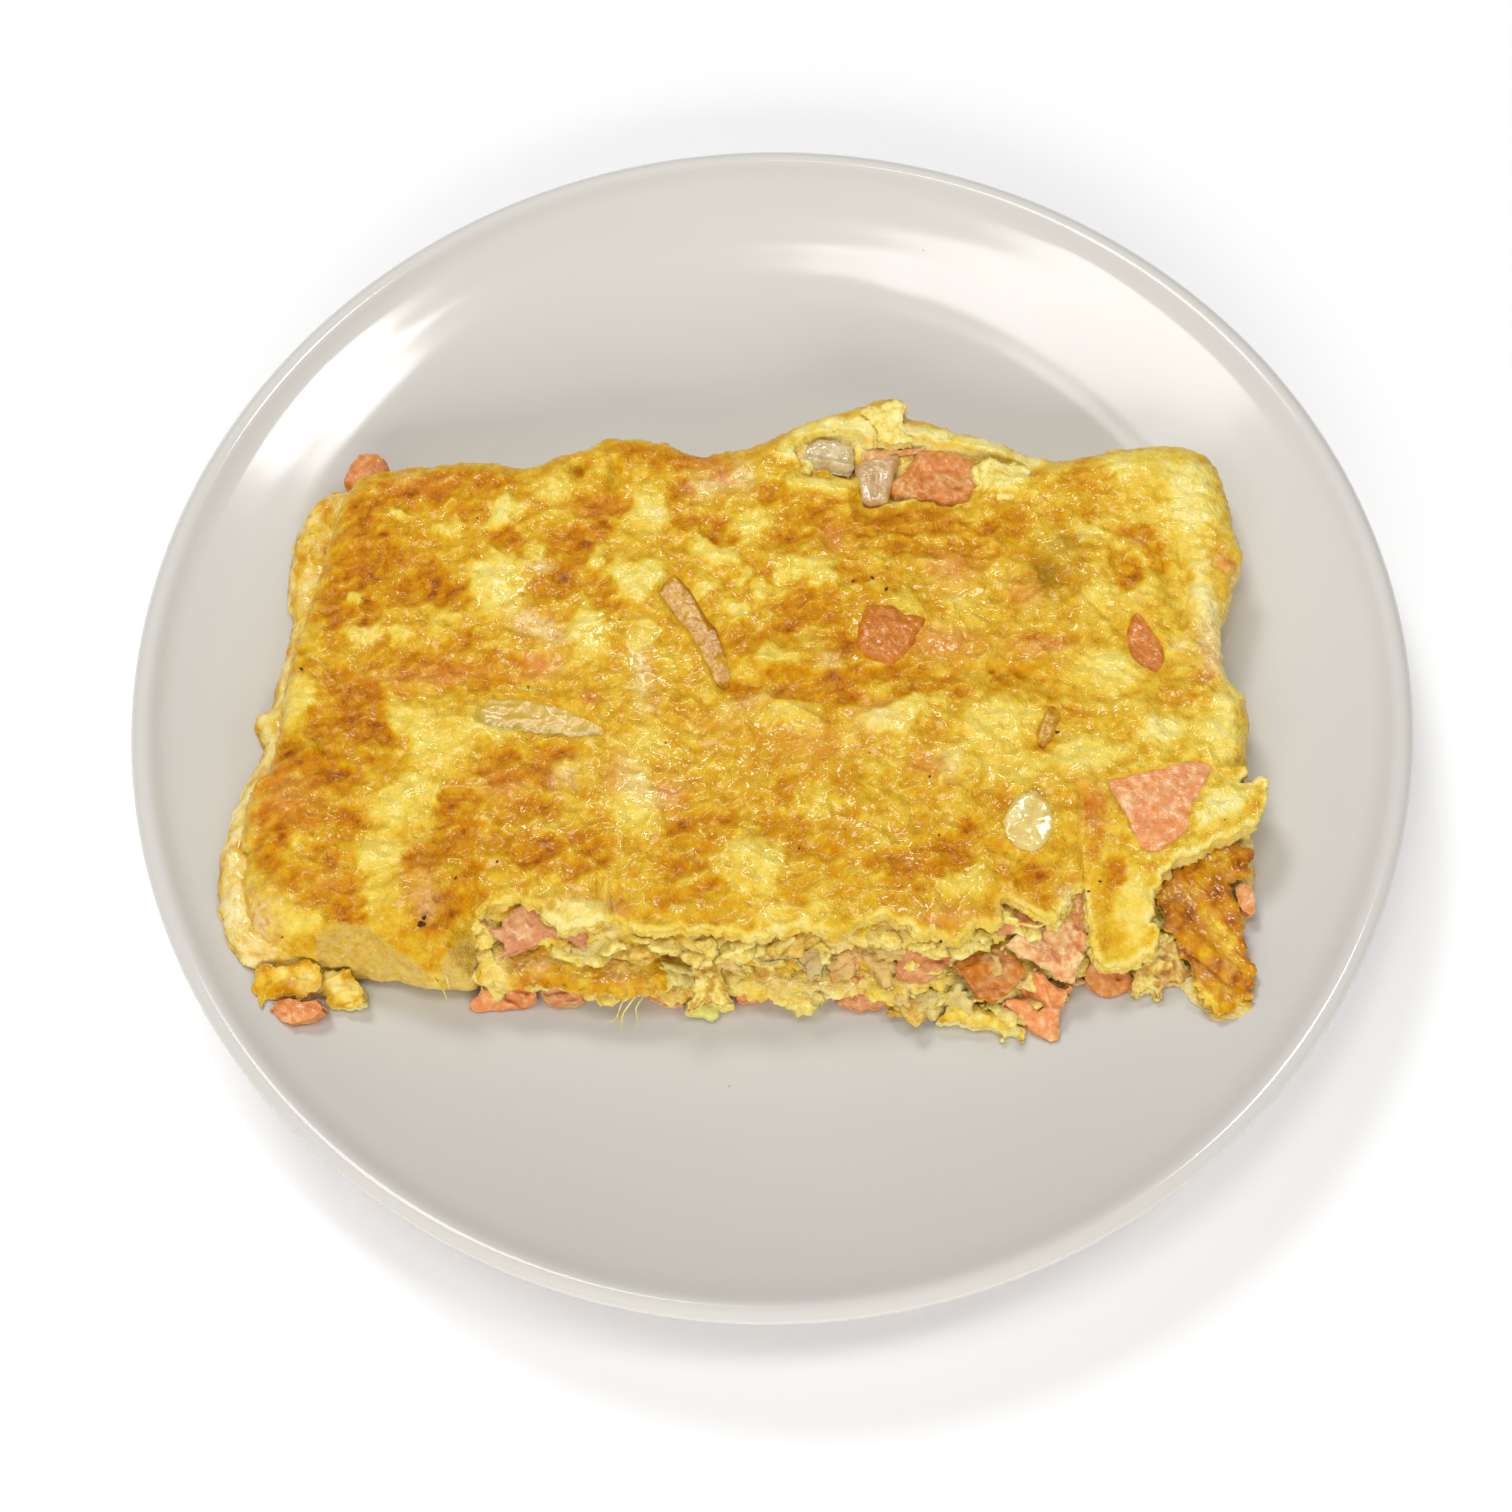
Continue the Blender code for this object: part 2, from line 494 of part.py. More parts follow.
def overlaps(first, second):
    """Whether the two objects' boxes meet."""
    a, b = (np.array([v.co for v in obj.data.vertices]) for obj in (first, second))
    return bool((a.max(0) > b.min(0)).all() and (b.max(0) > a.min(0)).all())


# ---------------------------------------------------------------- plate


def plate_profile():
    """From the middle of the well out to the lip, and back under it to the foot ring."""
    radii = [0.0, *np.linspace(WELL_R, LIP_R, 6)]
    points = [(r, float(plate_top(r, 0.0))) for r in radii]
    middle, size = (PLATE_R - LIP_W, PLATE_H - LIP_ROUND), (LIP_W, LIP_ROUND)
    for angle in (95, 60, 30, 0, -55):
        points.append((middle[0] + size[0] * math.cos(math.radians(angle)),
                       middle[1] + size[1] * math.sin(math.radians(angle))))
    for r in (114.0, 94.0):
        points.append((r + 1.5, float(plate_top(r, 0.0)) - WALL))
    points += [(FOOT_R + 3.0, 2.6), (FOOT_R + 0.6, 0.5), (FOOT_R, 0.0), (FOOT_R - FOOT_W, 0.0),
               (FOOT_R - FOOT_W - 1.5, FOOT_H), (0.0, FOOT_H)]
    return points


def build_plate(collection):
    bm = bmesh.new()
    verts = [bm.verts.new((r, 0.0, z)) for r, z in plate_profile()]
    for pair in zip(verts, verts[1:]):
        bm.edges.new(pair)
    plate = object_from(bm, "plate", collection, "plate_glaze")
    screw = plate.modifiers.new("Turn", "SCREW")
    screw.steps = screw.render_steps = PLATE_STEPS
    screw.use_merge_vertices = True
    screw.merge_threshold = 0.0001
    screw.use_smooth_shade = True
    return plate


# ---------------------------------------------------------------- omelette


def build_sheet(collection, cutters):
    """One folded sheet: a rolled top, the base that it folds out of, and the space between."""
    sheet = slab("egg_sheet", LEAF_OUTLINE, leaf_top,
                 lambda x, y, depth: base_top(x, y) - 1.2, 5.8, collection, "browned_egg",
                 belly=1.0)
    base = slab("base", BASE_OUTLINE, base_lip, lambda x, y, depth: plate_top(x, y) + GAP,
                11.0, cutters, "browned_egg", step=8.0)
    combine(sheet, base, "UNION")
    opening = [(-57.5, FRONT_OUT), (76.0, FRONT_OUT)]
    inside = slab("inside", opening + INSIDE,
                  lambda x, y, depth: np.maximum(ceiling(x, y), base_top(x, y) + 2.0),
                  lambda x, y, depth: base_top(x, y), 10.0, cutters, "soft_egg", step=12.0,
                  sharp=True)
    combine(sheet, inside, "DIFFERENCE")
    tear = slab("tear", TEAR, lambda x, y, depth: 0 * x + TOP_Z + 9.0,
                lambda x, y, depth: 0 * x + TEAR_FLOOR, 8.0, cutters, "soft_egg", step=5.0)
    combine(sheet, tear, "DIFFERENCE")
    for i, (centre, radius) in enumerate(SKIN_HOLES):
        hole = slab(f"hole_{i}", ring(centre, radius), lambda x, y, depth: 0 * x + TOP_Z + 9.0,
                    lambda x, y, depth: 0 * x + TOP_Z - 2.2, 4.0, cutters, "soft_egg")
        combine(sheet, hole, "DIFFERENCE")
    return sheet


def ring(centre, radius):
    turns = np.radians(np.arange(0, 360, 60))
    return [(centre[0] + radius * math.cos(a), centre[1] + radius * math.sin(a)) for a in turns]


def base_lip(x, y, depth):
    """The base's upper side, thicker where it shows as a folded lip along the left."""
    left = np.clip((-84.0 - x) / 10.0, 0, 1)
    rounded = np.clip(1 - depth / 4.0, 0, 1) ** 2
    return base_top(x, y) + left * (2.6 - 3.4 * rounded) - 1.2 * rounded * (1 - left)


def build_layers(collection):
    """What the fold holds: curds, the sheet's tucked-in end, and curds again."""
    sides = inset(INSIDE, 0.9)
    plan = (
        ("filling_lower", LOWER_FRONT, 0.0, 0.33, 1, "soft_egg"),
        ("egg_inner_fold", INNER_FRONT, 0.33, 0.60, 2, "golden_egg"),
        ("filling_upper", UPPER_FRONT, 0.60, 1.0, 3, "soft_egg"),
    )
    layers = []
    for name, front, low, high, gaps, slot in plan:
        top = share_of_inside(high, gaps)
        under = share_of_inside(low, gaps)
        layers.append(slab(name, front + sides, rounded_to(top, 1.2), rounded_to(under, -0.3),
                           10.0, collection, slot, step=12.0, sharp=True))
    return layers


def rounded_to(level, fall):
    """A level that falls away near its outline."""
    return lambda x, y, depth: level(x, y) - fall * np.clip(1 - depth / 2.0, 0, 1) ** 2


def build_pieces(collection):
    """Salmon, onion and egg pieces, the ones that lie uppermost first."""
    pieces = []
    for name, (outline, proud) in ON_TOP.items():
        level = piece_level(outline, proud)
        pieces.append(slab(name, outline, level, piece_level(outline, -PIECE_BED), 4.0,
                           collection, slot_of(name), step=3.4))
    for name, (outline, low, high, slope) in STACKED.items():
        middle = float(np.mean([p[1] for p in outline]))
        pieces.append(slab(name, outline, tilted_top(high, slope, middle, name),
                           tilted_under(low, slope, middle), 3.8, collection, slot_of(name),
                           step=3.4))
    return pieces


def piece_level(outline, proud):
    """A surface this far over the sheet's top, as for a piece that lies in it."""

    def level(x, y, depth):
        edge = 0.5 * np.clip(1 - depth / 1.5, 0, 1) ** 2 * (proud > 0)
        far = np.full_like(x, FOLD_R)
        return leaf_top(x, y, far) + proud - edge

    return level


def tilted_top(high, slope, middle, name):
    seed = float(len(name) * 7 + ord(name[-1]))
    return lambda x, y, depth: (
        high + slope * (y - middle) + 0.7 * ripple(x, y, 4.0, seed)
        - 0.9 * np.clip(1 - depth / 1.8, 0, 1) ** 2
    )


def tilted_under(low, slope, middle):
    if low is ON_PLATE:
        return lambda x, y, depth: plate_top(x, y) + GAP
    return lambda x, y, depth: np.maximum(low + slope * (y - middle), plate_top(x, y) + GAP)


def slot_of(name):
    slots = {"lox": "salmon", "onion": "onion", "curd": "soft_egg", "egg": "golden_egg"}
    return slots[name.split("_")[0]]


def main():
    for obj in list(bpy.data.objects):
        bpy.data.objects.remove(obj, do_unlink=True)
    food = scene_collection("lox_eggs_and_onions")
    cutters = scene_collection("cutters")
    cutters.hide_render = True
    build_plate(food)
    sheet = build_sheet(food, cutters)
    layers = build_layers(food)
    pieces = build_pieces(food)
    pockets = scene_collection("pockets")
    pockets.hide_render = True
    for i, piece in enumerate(pieces):
        for earlier in pieces[:i]:
            pocket = pockets.objects["pocket_" + earlier.name]
            if overlaps(piece, pocket):
                combine(piece, pocket, "DIFFERENCE")
        grown(piece, pockets)
    for big in (sheet, *layers):
        combine(big, pockets, "DIFFERENCE")
    for used in (cutters, pockets):
        for obj in list(used.objects):
            bpy.data.objects.remove(obj, do_unlink=True)


main()
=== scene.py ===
# %% [markdown]
# # A folded omelette with smoked salmon and onion, on its plate
#
# This lesson dresses a plain solid model.  The solids give every size and place: one plate,
# one folded egg sheet, three layers inside it, and some thirty pieces of salmon, onion and
# curd.  Here each of them gets the surface that the real food has: a browned, wrinkled skin,
# torn crumbly edges, flaky fish and glassy onion.  Lengths are in millimetres while shapes are
# worked out, and the finished meshes are in metres.

import math

import bmesh
import bpy
import numpy as np
from mathutils import Euler, Matrix, Vector, kdtree, noise
from mathutils.geometry import delaunay_2d_cdt


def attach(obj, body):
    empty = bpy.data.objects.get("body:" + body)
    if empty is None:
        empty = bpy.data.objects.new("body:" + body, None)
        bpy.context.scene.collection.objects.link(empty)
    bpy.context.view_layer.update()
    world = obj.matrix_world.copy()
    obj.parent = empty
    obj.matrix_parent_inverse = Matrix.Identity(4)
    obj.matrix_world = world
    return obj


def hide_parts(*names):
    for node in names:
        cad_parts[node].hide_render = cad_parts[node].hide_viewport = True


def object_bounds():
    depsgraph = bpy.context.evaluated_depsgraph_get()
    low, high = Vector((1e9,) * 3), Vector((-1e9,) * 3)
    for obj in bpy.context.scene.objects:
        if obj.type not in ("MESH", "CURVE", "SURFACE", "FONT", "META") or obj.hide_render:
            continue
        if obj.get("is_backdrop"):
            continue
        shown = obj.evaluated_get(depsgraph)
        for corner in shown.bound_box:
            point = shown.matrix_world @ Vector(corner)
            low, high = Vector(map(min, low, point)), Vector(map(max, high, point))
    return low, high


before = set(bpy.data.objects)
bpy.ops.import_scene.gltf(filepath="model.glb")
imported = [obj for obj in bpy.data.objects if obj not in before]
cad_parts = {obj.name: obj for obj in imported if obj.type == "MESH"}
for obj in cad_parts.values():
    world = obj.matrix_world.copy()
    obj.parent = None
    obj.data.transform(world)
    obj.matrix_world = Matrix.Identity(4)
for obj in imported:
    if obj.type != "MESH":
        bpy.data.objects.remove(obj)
cad_low, cad_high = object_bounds()
MM = 0.001
print(len(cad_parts), "solids, box", [round(v / MM, 1) for v in (*cad_low, *cad_high)])

# %% [markdown]
# ## Shader maths as Python
#
# A material is a network of small boxes joined by wires.  Written out box by box it is long
# and hard to read, so one small class holds a wire and lets ordinary signs such as + and *
# add the Math boxes.  Every other kind of box comes from its one method, `node`, which takes
# the box's type, its settings, and the values or wires for its sockets.


# %% A wire that can be added and multiplied
class Wire:
    """One output socket of a material's node tree."""

    def __init__(self, tree, socket=None):
        self.tree, self.socket = tree, socket

    def node(self, kind, settings=None, sockets=None, out=0):
        made = self.tree.nodes.new("ShaderNode" + kind)
        for name, value in (settings or {}).items():
            if name == "stops":
                ramp = made.color_ramp
                while len(ramp.elements) < len(value):
                    ramp.elements.new(0.5)
                for element, (place, colour) in zip(ramp.elements, value):
                    element.position, element.color = place, colour
            else:
                setattr(made, name, value)
        for name, value in (sockets or {}).items():
            if isinstance(value, Wire):
                self.tree.links.new(value.socket, made.inputs[name])
            else:
                made.inputs[name].default_value = value
        return Wire(self.tree, made.outputs[out] if made.outputs else None)

    def maths(self, operation, *values, clamp=False):
        settings = {"operation": operation, "use_clamp": clamp}
        return self.node("Math", settings, dict(enumerate(values)))

    def __add__(self, other):
        return self.maths("ADD", self, other)

    def __sub__(self, other):
        return self.maths("SUBTRACT", self, other)

    def __rsub__(self, other):
        return self.maths("SUBTRACT", other, self)

    def __mul__(self, other):
        return self.maths("MULTIPLY", self, other)

    __radd__, __rmul__ = __add__, __mul__

    def between(self, low, high):
        """0 below low, 1 above high, and a smooth change from one to the other."""
        return self.node("MapRange", {"interpolation_type": "SMOOTHSTEP"},
                         {"Value": self, "From Min": low, "From Max": high})

    def clipped(self):
        return self.maths("ADD", self, 0.0, clamp=True)


def linear(red, green, blue):
    """A colour as a painter reads it off a screen, 0 to 255, in the renderer's linear light."""
    steps = [c / 255 for c in (red, green, blue)]
    return (*(c / 12.92 if c <= 0.04045 else ((c + 0.055) / 1.055) ** 2.4 for c in steps), 1.0)


# %% Painting helpers that every material uses
class Paint:
    """A material under construction: places, noises, colour mixes and the final shader."""

    def __init__(self, name):
        self.material = bpy.data.materials.new(name)
        self.material.use_nodes = True
        self.tree = self.material.node_tree
        self.tree.nodes.clear()
        self.start = Wire(self.tree)
        self.place = self.start.node("TexCoord", out="Object")

    def painted(self, name):
        """A number that Python worked out for every point of the mesh."""
        return self.start.node("Attribute", {"attribute_name": name}, out="Fac")

    def cloud(self, size_mm, detail=2.0, stretch=None, roughness=0.5):
        """Noise around 0.5 with features about size_mm wide."""
        place = self.place
        if stretch:
            place = self.start.node("Mapping", sockets={"Vector": place, "Scale": stretch})
        sockets = {"Vector": place, "Scale": 1 / (size_mm * MM), "Detail": detail,
                   "Roughness": roughness}
        return self.start.node("TexNoise", sockets=sockets)

    def cells(self, size_mm):
        """The distance from the middle of the nearest of many scattered cells."""
        sockets = {"Vector": self.place, "Scale": 1 / (size_mm * MM)}
        return self.start.node("TexVoronoi", sockets=sockets)

    def mix(self, share, first, second):
        """Two colours mixed: all of the second where share is 1."""
        sockets = {0: share, 6: first, 7: second}
        return self.start.node("Mix", {"data_type": "RGBA"}, sockets, out=2)

    def ramp(self, value, *stops):
        """A run of colours along a number from 0 to 1."""
        stops = [(place, linear(*colour)) for place, colour in stops]
        return self.start.node("ValToRGB", {"stops": stops}, {0: value})

    def bump(self, height, depth_mm):
        """Fine relief for the light only; it leaves the outline as it is."""
        sockets = {"Height": height, "Distance": depth_mm * MM, "Strength": 1.0}
        return self.start.node("Bump", sockets=sockets)

    def finish(self, **sockets):
        """Closes the material with one Principled shader; names use _ for spaces."""
        named = {name.replace("_", " "): value for name, value in sockets.items()}
        shader = self.start.node("BsdfPrincipled", sockets=named)
        self.start.node("OutputMaterial", sockets={"Surface": shader})
        print("material", self.material.name, "with", len(self.tree.nodes), "nodes")
        return self.material


# %% [markdown]
# ## Numbers spread over a surface
#
# Real food is uneven at every size, so almost every shape below adds some noise.  Blender's
# own noise gives the same value for the same place each time, which keeps the result the
# same at every run.  `hill` and `groove` place single features: a swelling over a piece of
# salmon, a crease, a scorched patch.


# %% Noise, hills and grooves
def cloud(x, y, size, seed=0.0, octaves=1, z=None):
    """Noise from about -1 to 1 at each point, with features about size mm wide."""
    z = np.zeros_like(x) if z is None else z
    return np.array([noise.fractal(Vector((a / size + seed, b / size - seed, c / size + seed)),
                                   0.8, 2.1, octaves) for a, b, c in zip(x, y, z)])


def smoothstep(value, low, high):
    """0 at low, 1 at high and beyond, with a smooth change from one to the other."""
    share = np.clip((value - low) / (high - low), 0, 1)
    return share * share * (3 - 2 * share)


def hill(x, y, centre_x, centre_y, long, wide, turn=0.0):
    """1 at the centre, falling away over the two half widths, turned by degrees."""
    c, s = math.cos(math.radians(turn)), math.sin(math.radians(turn))
    dx, dy = x - centre_x, y - centre_y
    return np.exp(-(((dx * c + dy * s) / long) ** 2 + ((dy * c - dx * s) / wide) ** 2))


def hills(x, y, rows):
    """Hills added up; each row is a centre, two half widths, a turn and a height."""
    total = np.zeros_like(x)
    for cx, cy, long, wide, turn, height in rows:
        total += height * hill(x, y, cx, cy, long, wide, turn)
    return total


def blots(x, y, rows):
    """Like hills, but level inside each row's outline, with a steep border."""
    total = np.zeros_like(x)
    for cx, cy, long, wide, turn, strength in rows:
        c, s = math.cos(math.radians(turn)), math.sin(math.radians(turn))
        dx, dy = x - cx, y - cy
        reach = np.hypot((dx * c + dy * s) / long, (dy * c - dx * s) / wide)
        total += strength * (1 - smoothstep(reach, 0.45, 1.4))
    return total


def line_distance(x, y, line):
    """How far each point is from an open run of straight lines."""
    best = np.full(x.shape, 1e9)
    for (ax, ay), (bx, by) in zip(line, line[1:]):
        dx, dy = bx - ax, by - ay
        share = np.clip(((x - ax) * dx + (y - ay) * dy) / (dx * dx + dy * dy), 0, 1)
        best = np.minimum(best, np.hypot(x - ax - share * dx, y - ay - share * dy))
    return best


def grooves(x, y, rows):
    """Creases added up; each row is a line, a half width and a height, below 0 for a dip."""
    total = np.zeros_like(x)
    for line, width, height in rows:
        total += height * np.exp(-((line_distance(x, y, line) / width) ** 2))
    return total


# %% Outlines and nets of triangles
def smooth_outline(points, step):
    """The closed outline as points about one step apart, on a curve through the given ones."""
    points = np.array(points, float)
    found = []
    for i in range(len(points)):
        before, start, end, after = (points[(i + k) % len(points)] for k in (-1, 0, 1, 2))
        cuts = max(1, round(np.linalg.norm(end - start) / step))
        for t in np.arange(cuts) / cuts:
            found.append(0.5 * (2 * start + (end - before) * t
                                + (2 * before - 5 * start + 4 * end - after) * t**2
                                + (3 * start - before - 3 * end + after) * t**3))
    return np.array(found)


def straight_outline(points, step):
    """The closed outline as points about one step apart, with its corners kept."""
    found = []
    for start, end in zip(np.array(points), np.roll(points, -1, axis=0)):
        cuts = max(1, round(float(np.linalg.norm(end - start)) / step))
        found += [start + (end - start) * t / cuts for t in range(cuts)]
    return np.array(found)


def outward(outline):
    """The unit direction out of an anticlockwise outline, at each of its points."""
    along = np.roll(outline, -1, axis=0) - np.roll(outline, 1, axis=0)
    out = np.stack([along[:, 1], -along[:, 0]], axis=1)
    return out / np.linalg.norm(out, axis=1)[:, None]


def roughened(rim, amount, size, seed, octaves):
    """The rim pushed in and out by noise."""
    return rim + outward(rim) * (amount * cloud(*rim.T, size, seed, octaves))[:, None]


def is_inside(x, y, outline):
    """Whether each point lies within the outline, by counting the edges to its right."""
    inside = np.zeros(x.shape, bool)
    for (ax, ay), (bx, by) in zip(outline, np.roll(outline, -1, axis=0)):
        if ay != by:
            spans = (ay > y) != (by > y)
            inside ^= spans & (x < ax + (y - ay) * (bx - ax) / (by - ay))
    return inside


def distance_to(x, y, outline):
    """How far each point is from the nearest of the outline's points."""
    tree = kdtree.KDTree(len(outline))
    for i, (a, b) in enumerate(outline):
        tree.insert((a, b, 0.0), i)
    tree.balance()
    return np.array([tree.find((a, b, 0.0))[2] for a, b in zip(x, y)])


def depth_in(x, y, rim):
    """How deep each point lies within a closed rim, below 0 outside it."""
    return np.where(is_inside(x, y, rim), 1, -1) * distance_to(x, y, rim)


def staggered(low, high, pitch):
    """A grid of points in staggered rows."""
    rows = np.arange(low[1], high[1], pitch * math.sqrt(0.75))
    return np.array([(x + pitch / 2 * (i % 2), y)
                     for i, y in enumerate(rows) for x in np.arange(low[0], high[0], pitch)])


def filled(rim, pitch):
    """The points of a staggered grid that lie within the rim."""
    grid = staggered(rim.min(axis=0), rim.max(axis=0), pitch)
    return grid[is_inside(*grid.T, rim)]


def net(outline, grids):
    """Triangles over an outline's inside; each grid is its points and its own pitch."""
    kept = [outline]
    for points, pitch in grids:
        if len(points):
            kept.append(points[distance_to(*points.T, outline) > 0.55 * pitch])
    flat = [Vector(p) for p in np.concatenate(kept)]
    flat, _, faces, *_ = delaunay_2d_cdt(flat, [], [list(range(len(outline)))], 1, 1e-6)
    flat = np.array([tuple(p) for p in flat])
    used = np.unique(np.array(faces))
    renumber = np.full(len(flat), -1)
    renumber[used] = np.arange(len(used))
    return flat[used], renumber[np.array(faces)]


# %% [markdown]
# ## One body from an outline
#
# The egg sheet, its base and the layers are all the same kind of body: a top, an underside and
# a side that goes round.  A heap of separate planes would leave gaps, so each is made as one
# closed skin.  The top and the underside are nets of triangles over the same outline, and the
# side is a ladder of rings between them, which can bulge out as a fold does.


# %% Build a closed body
def closed_body(outline, top, under, grids, under_grids, rings, side):
    """Points and triangles of a body; side gives how far a ring stands out at its height."""
    count = len(outline)
    top_flat, top_faces = net(outline, grids)
    low_flat, low_faces = net(outline, under_grids)
    assert np.allclose(top_flat[:count], outline) and np.allclose(low_flat[:count], outline)
    high = top(*top_flat.T, distance_to(*top_flat.T, outline))
    low = under(*low_flat.T, distance_to(*low_flat.T, outline))
    out = outward(outline)
    points = [np.column_stack([top_flat, high])]
    ring_points, start = [np.arange(count)], len(top_flat)
    for j in range(1, rings):
        share = j / rings
        z = high[:count] * (1 - share) + low[:count] * share
        moved = outline + out * side(*outline.T, z, share)[:, None]
        points.append(np.column_stack([moved, z]))
        ring_points.append(np.arange(start, start + count))
        start += count
    points.append(np.column_stack([low_flat, low]))
    ring_points.append(np.arange(start, start + count))
    faces = [top_faces, low_faces[:, ::-1] + start]
    for upper, lower in zip(ring_points, ring_points[1:]):
        a, b, c, d = upper, np.roll(upper, -1), np.roll(lower, -1), lower
        faces += [np.column_stack([a, d, c]), np.column_stack([a, c, b])]
    return np.concatenate(points), np.concatenate(faces)


def normals_of(points, faces):
    """The outward direction at each point, from the triangles around it."""
    a, b, c = (points[faces[:, i]] for i in range(3))
    across = np.cross(b - a, c - a)
    found = np.zeros_like(points)
    for i in range(3):
        np.add.at(found, faces[:, i], across)
    return found / np.maximum(np.linalg.norm(found, axis=1), 1e-12)[:, None]


shown = []


def show(name, points, faces, material, slot, replaces, paints=None):
    """Makes the piece, in metres, with its painted numbers, and hides the solids that it replaces.
    """
    mesh = bpy.data.meshes.new(name)
    mesh.from_pydata((points * MM).tolist(), [], faces.tolist())
    mesh.polygons.foreach_set("use_smooth", np.ones(len(mesh.polygons), bool))
    for paint, values in (paints or {}).items():
        layer = mesh.attributes.new(paint, "FLOAT", "POINT")
        layer.data.foreach_set("value", np.full(len(points), values, np.float32))
    mesh.materials.append(material)
    obj = bpy.data.objects.new(name, mesh)
    bpy.context.scene.collection.objects.link(obj)
    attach(obj, "root")
    if replaces:
        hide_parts(*replaces)
    shown.append(obj)
    print(name, len(points), "points,", len(faces), "faces")


# %% [markdown]
# ## The plate
#
# A coupe plate has no flat rim: its middle is flat and the sides rise in one curve to a small
# rounded bead.  It was turned on a wheel, so its shape is a profile spun round, and a spun
# profile is also how it is made here, with enough steps that its edge looks round.  The glaze
# is close to white, smooth and glossy.  What makes it look like stoneware and not plastic is
# slight: very shallow throwing rings, a warm tint and a few tiny dark specks.

# %% Plate shape
LIP_R, LIP_Z = 124.5, 20.5
WELL_R, WELL_Z, RISE_POWER = 62.0, 6.0, 2.3
WALL = 4.3  # the plate's thickness
GAP = 0.4  # left between two parts that lie on each other
TURNS = 256


def plate_top(x, y):
    rise = np.clip((np.hypot(x, y) - WELL_R) / (LIP_R - WELL_R), 0, None)
    return WELL_Z + (LIP_Z - WELL_Z) * rise**RISE_POWER


def plate_profile():
    """Radius and height from the middle of the well, over the bead, to under the foot."""
    radii = np.concatenate([np.linspace(4, 58, 12), np.linspace(60, 123.4, 44)])
    profile = [(0.0, WELL_Z)] + [(r, float(plate_top(r, 0.0))) for r in radii]
    bead = [(124.5, 20.75), (125.3, 21.45), (126.0, 22.0), (126.9, 22.34), (127.8, 22.36),
            (128.6, 22.1), (129.3, 21.65), (129.8, 21.1), (130.0, 20.5), (129.8, 19.9),
            (129.2, 19.3), (128.2, 18.7)]
    under = [(r + 1.5, float(plate_top(r, 0.0)) - WALL) for r in np.linspace(124.0, 82.0, 16)]
    foot = [(79.5, 3.0), (77.4, 1.5), (76.2, 0.6), (75.0, 0.1), (74.0, 0.0), (71.0, 0.0),
            (70.0, 0.25), (69.2, 1.2), (68.0, 1.9), (66.0, 2.0), (30.0, 2.0), (0.0, 2.0)]
    return np.array(profile + bead + under + foot)


def turned(profile, turns):
    """A profile that starts and ends on the axis, spun round into one closed body."""
    angles = np.arange(turns) / turns * 2 * math.pi
    rings = profile[1:-1]
    points = [(0.0, 0.0, profile[0, 1])]
    for r, z in rings:
        points += [(r * math.cos(a), r * math.sin(a), z) for a in angles]
    points.append((0.0, 0.0, profile[-1, 1]))
    first = 1 + np.arange(turns)
    after = np.roll(first, -1)
    faces = [np.column_stack([np.zeros(turns, int), first, after])]
    for i in range(len(rings) - 1):
        a, b = first + i * turns, after + i * turns
        faces += [np.column_stack([a, a + turns, b + turns]), np.column_stack([a, b + turns, b])]
    a, b = first + (len(rings) - 1) * turns, after + (len(rings) - 1) * turns
    faces.append(np.column_stack([a, np.full(turns, len(points) - 1), b]))
    return np.array(points), np.concatenate(faces)


# %% Glaze
glaze = Paint("white_glaze")
radius = glaze.start.node("VectorMath", {"operation": "LENGTH"}, {0: glaze.place}, out="Value")
turn = radius * (2 * math.pi / (7.0 * MM))
rings = turn.maths("SINE", turn)
specks = 1 - glaze.cells(13.0).between(0.012, 0.022)
tint = glaze.mix(glaze.cloud(60.0), linear(204, 201, 194), linear(208, 205, 199))
tint = glaze.mix(specks * 0.45, tint, linear(120, 100, 80))
white_glaze = glaze.finish(
    Base_Color=tint, Roughness=0.09 + 0.05 * glaze.cloud(9.0), Specular_IOR_Level=0.5,
    Normal=glaze.bump(glaze.cloud(24.0, detail=1.0) + 0.12 * rings, 0.12))
plate_points, plate_faces = turned(plate_profile(), TURNS)
show("plate_glazed", plate_points, plate_faces, white_glaze, "plate_glaze", ["plate"])

# %% [markdown]
# ## The browned skin of the omelette
#
# The top is what one sees first.  On the real one it is a thin skin of egg, toasted where it
# lay on the pan and pale where steam held it off, so the browning follows blots of 3 to 15 mm
# and not an even noise.  Such a pattern can't come from noise alone.  Here the big blots are
# listed, each as a hill with a size and a turn, then warped and roughened by noise, and
# stored as one number per point.  The shader turns that number into a run of egg colours.
#
# Outlines are read anticlockwise from above.

# %% Outlines of the folded sheet
LEAF_LEFT = [
    (-80.8, 45.4), (-86.5, 43.5), (-89.5, 39.0), (-91.8, 30.0), (-94.6, 14.6), (-97.0, 5.5),
    (-98.6, -6.0), (-98.6, -14.0), (-99.7, -23.0), (-103.0, -29.0), (-103.8, -43.0),
    (-102.8, -53.0), (-99.0, -58.5),
]
LEAF_ROLL = [
    (-91.0, -61.5), (-83.0, -63.0), (-74.0, -64.0), (-64.0, -65.5), (-59.0, -65.0),
]
LEAF_TORN = [
    (-58.0, -58.0), (-55.6, -54.5), (-50.5, -52.1), (-44.4, -54.1), (-42.4, -57.1),
    (-38.4, -58.6), (-30.3, -57.1), (-25.3, -59.2), (-17.2, -59.2), (-8.1, -60.2), (-3.0, -61.2),
    (5.1, -59.7), (12.1, -60.7), (18.0, -58.0), (22.2, -58.6), (27.0, -61.0), (33.3, -62.5),
    (38.0, -60.0), (42.4, -59.7), (44.0, -55.2), (52.0, -59.0), (58.5, -52.5),
]
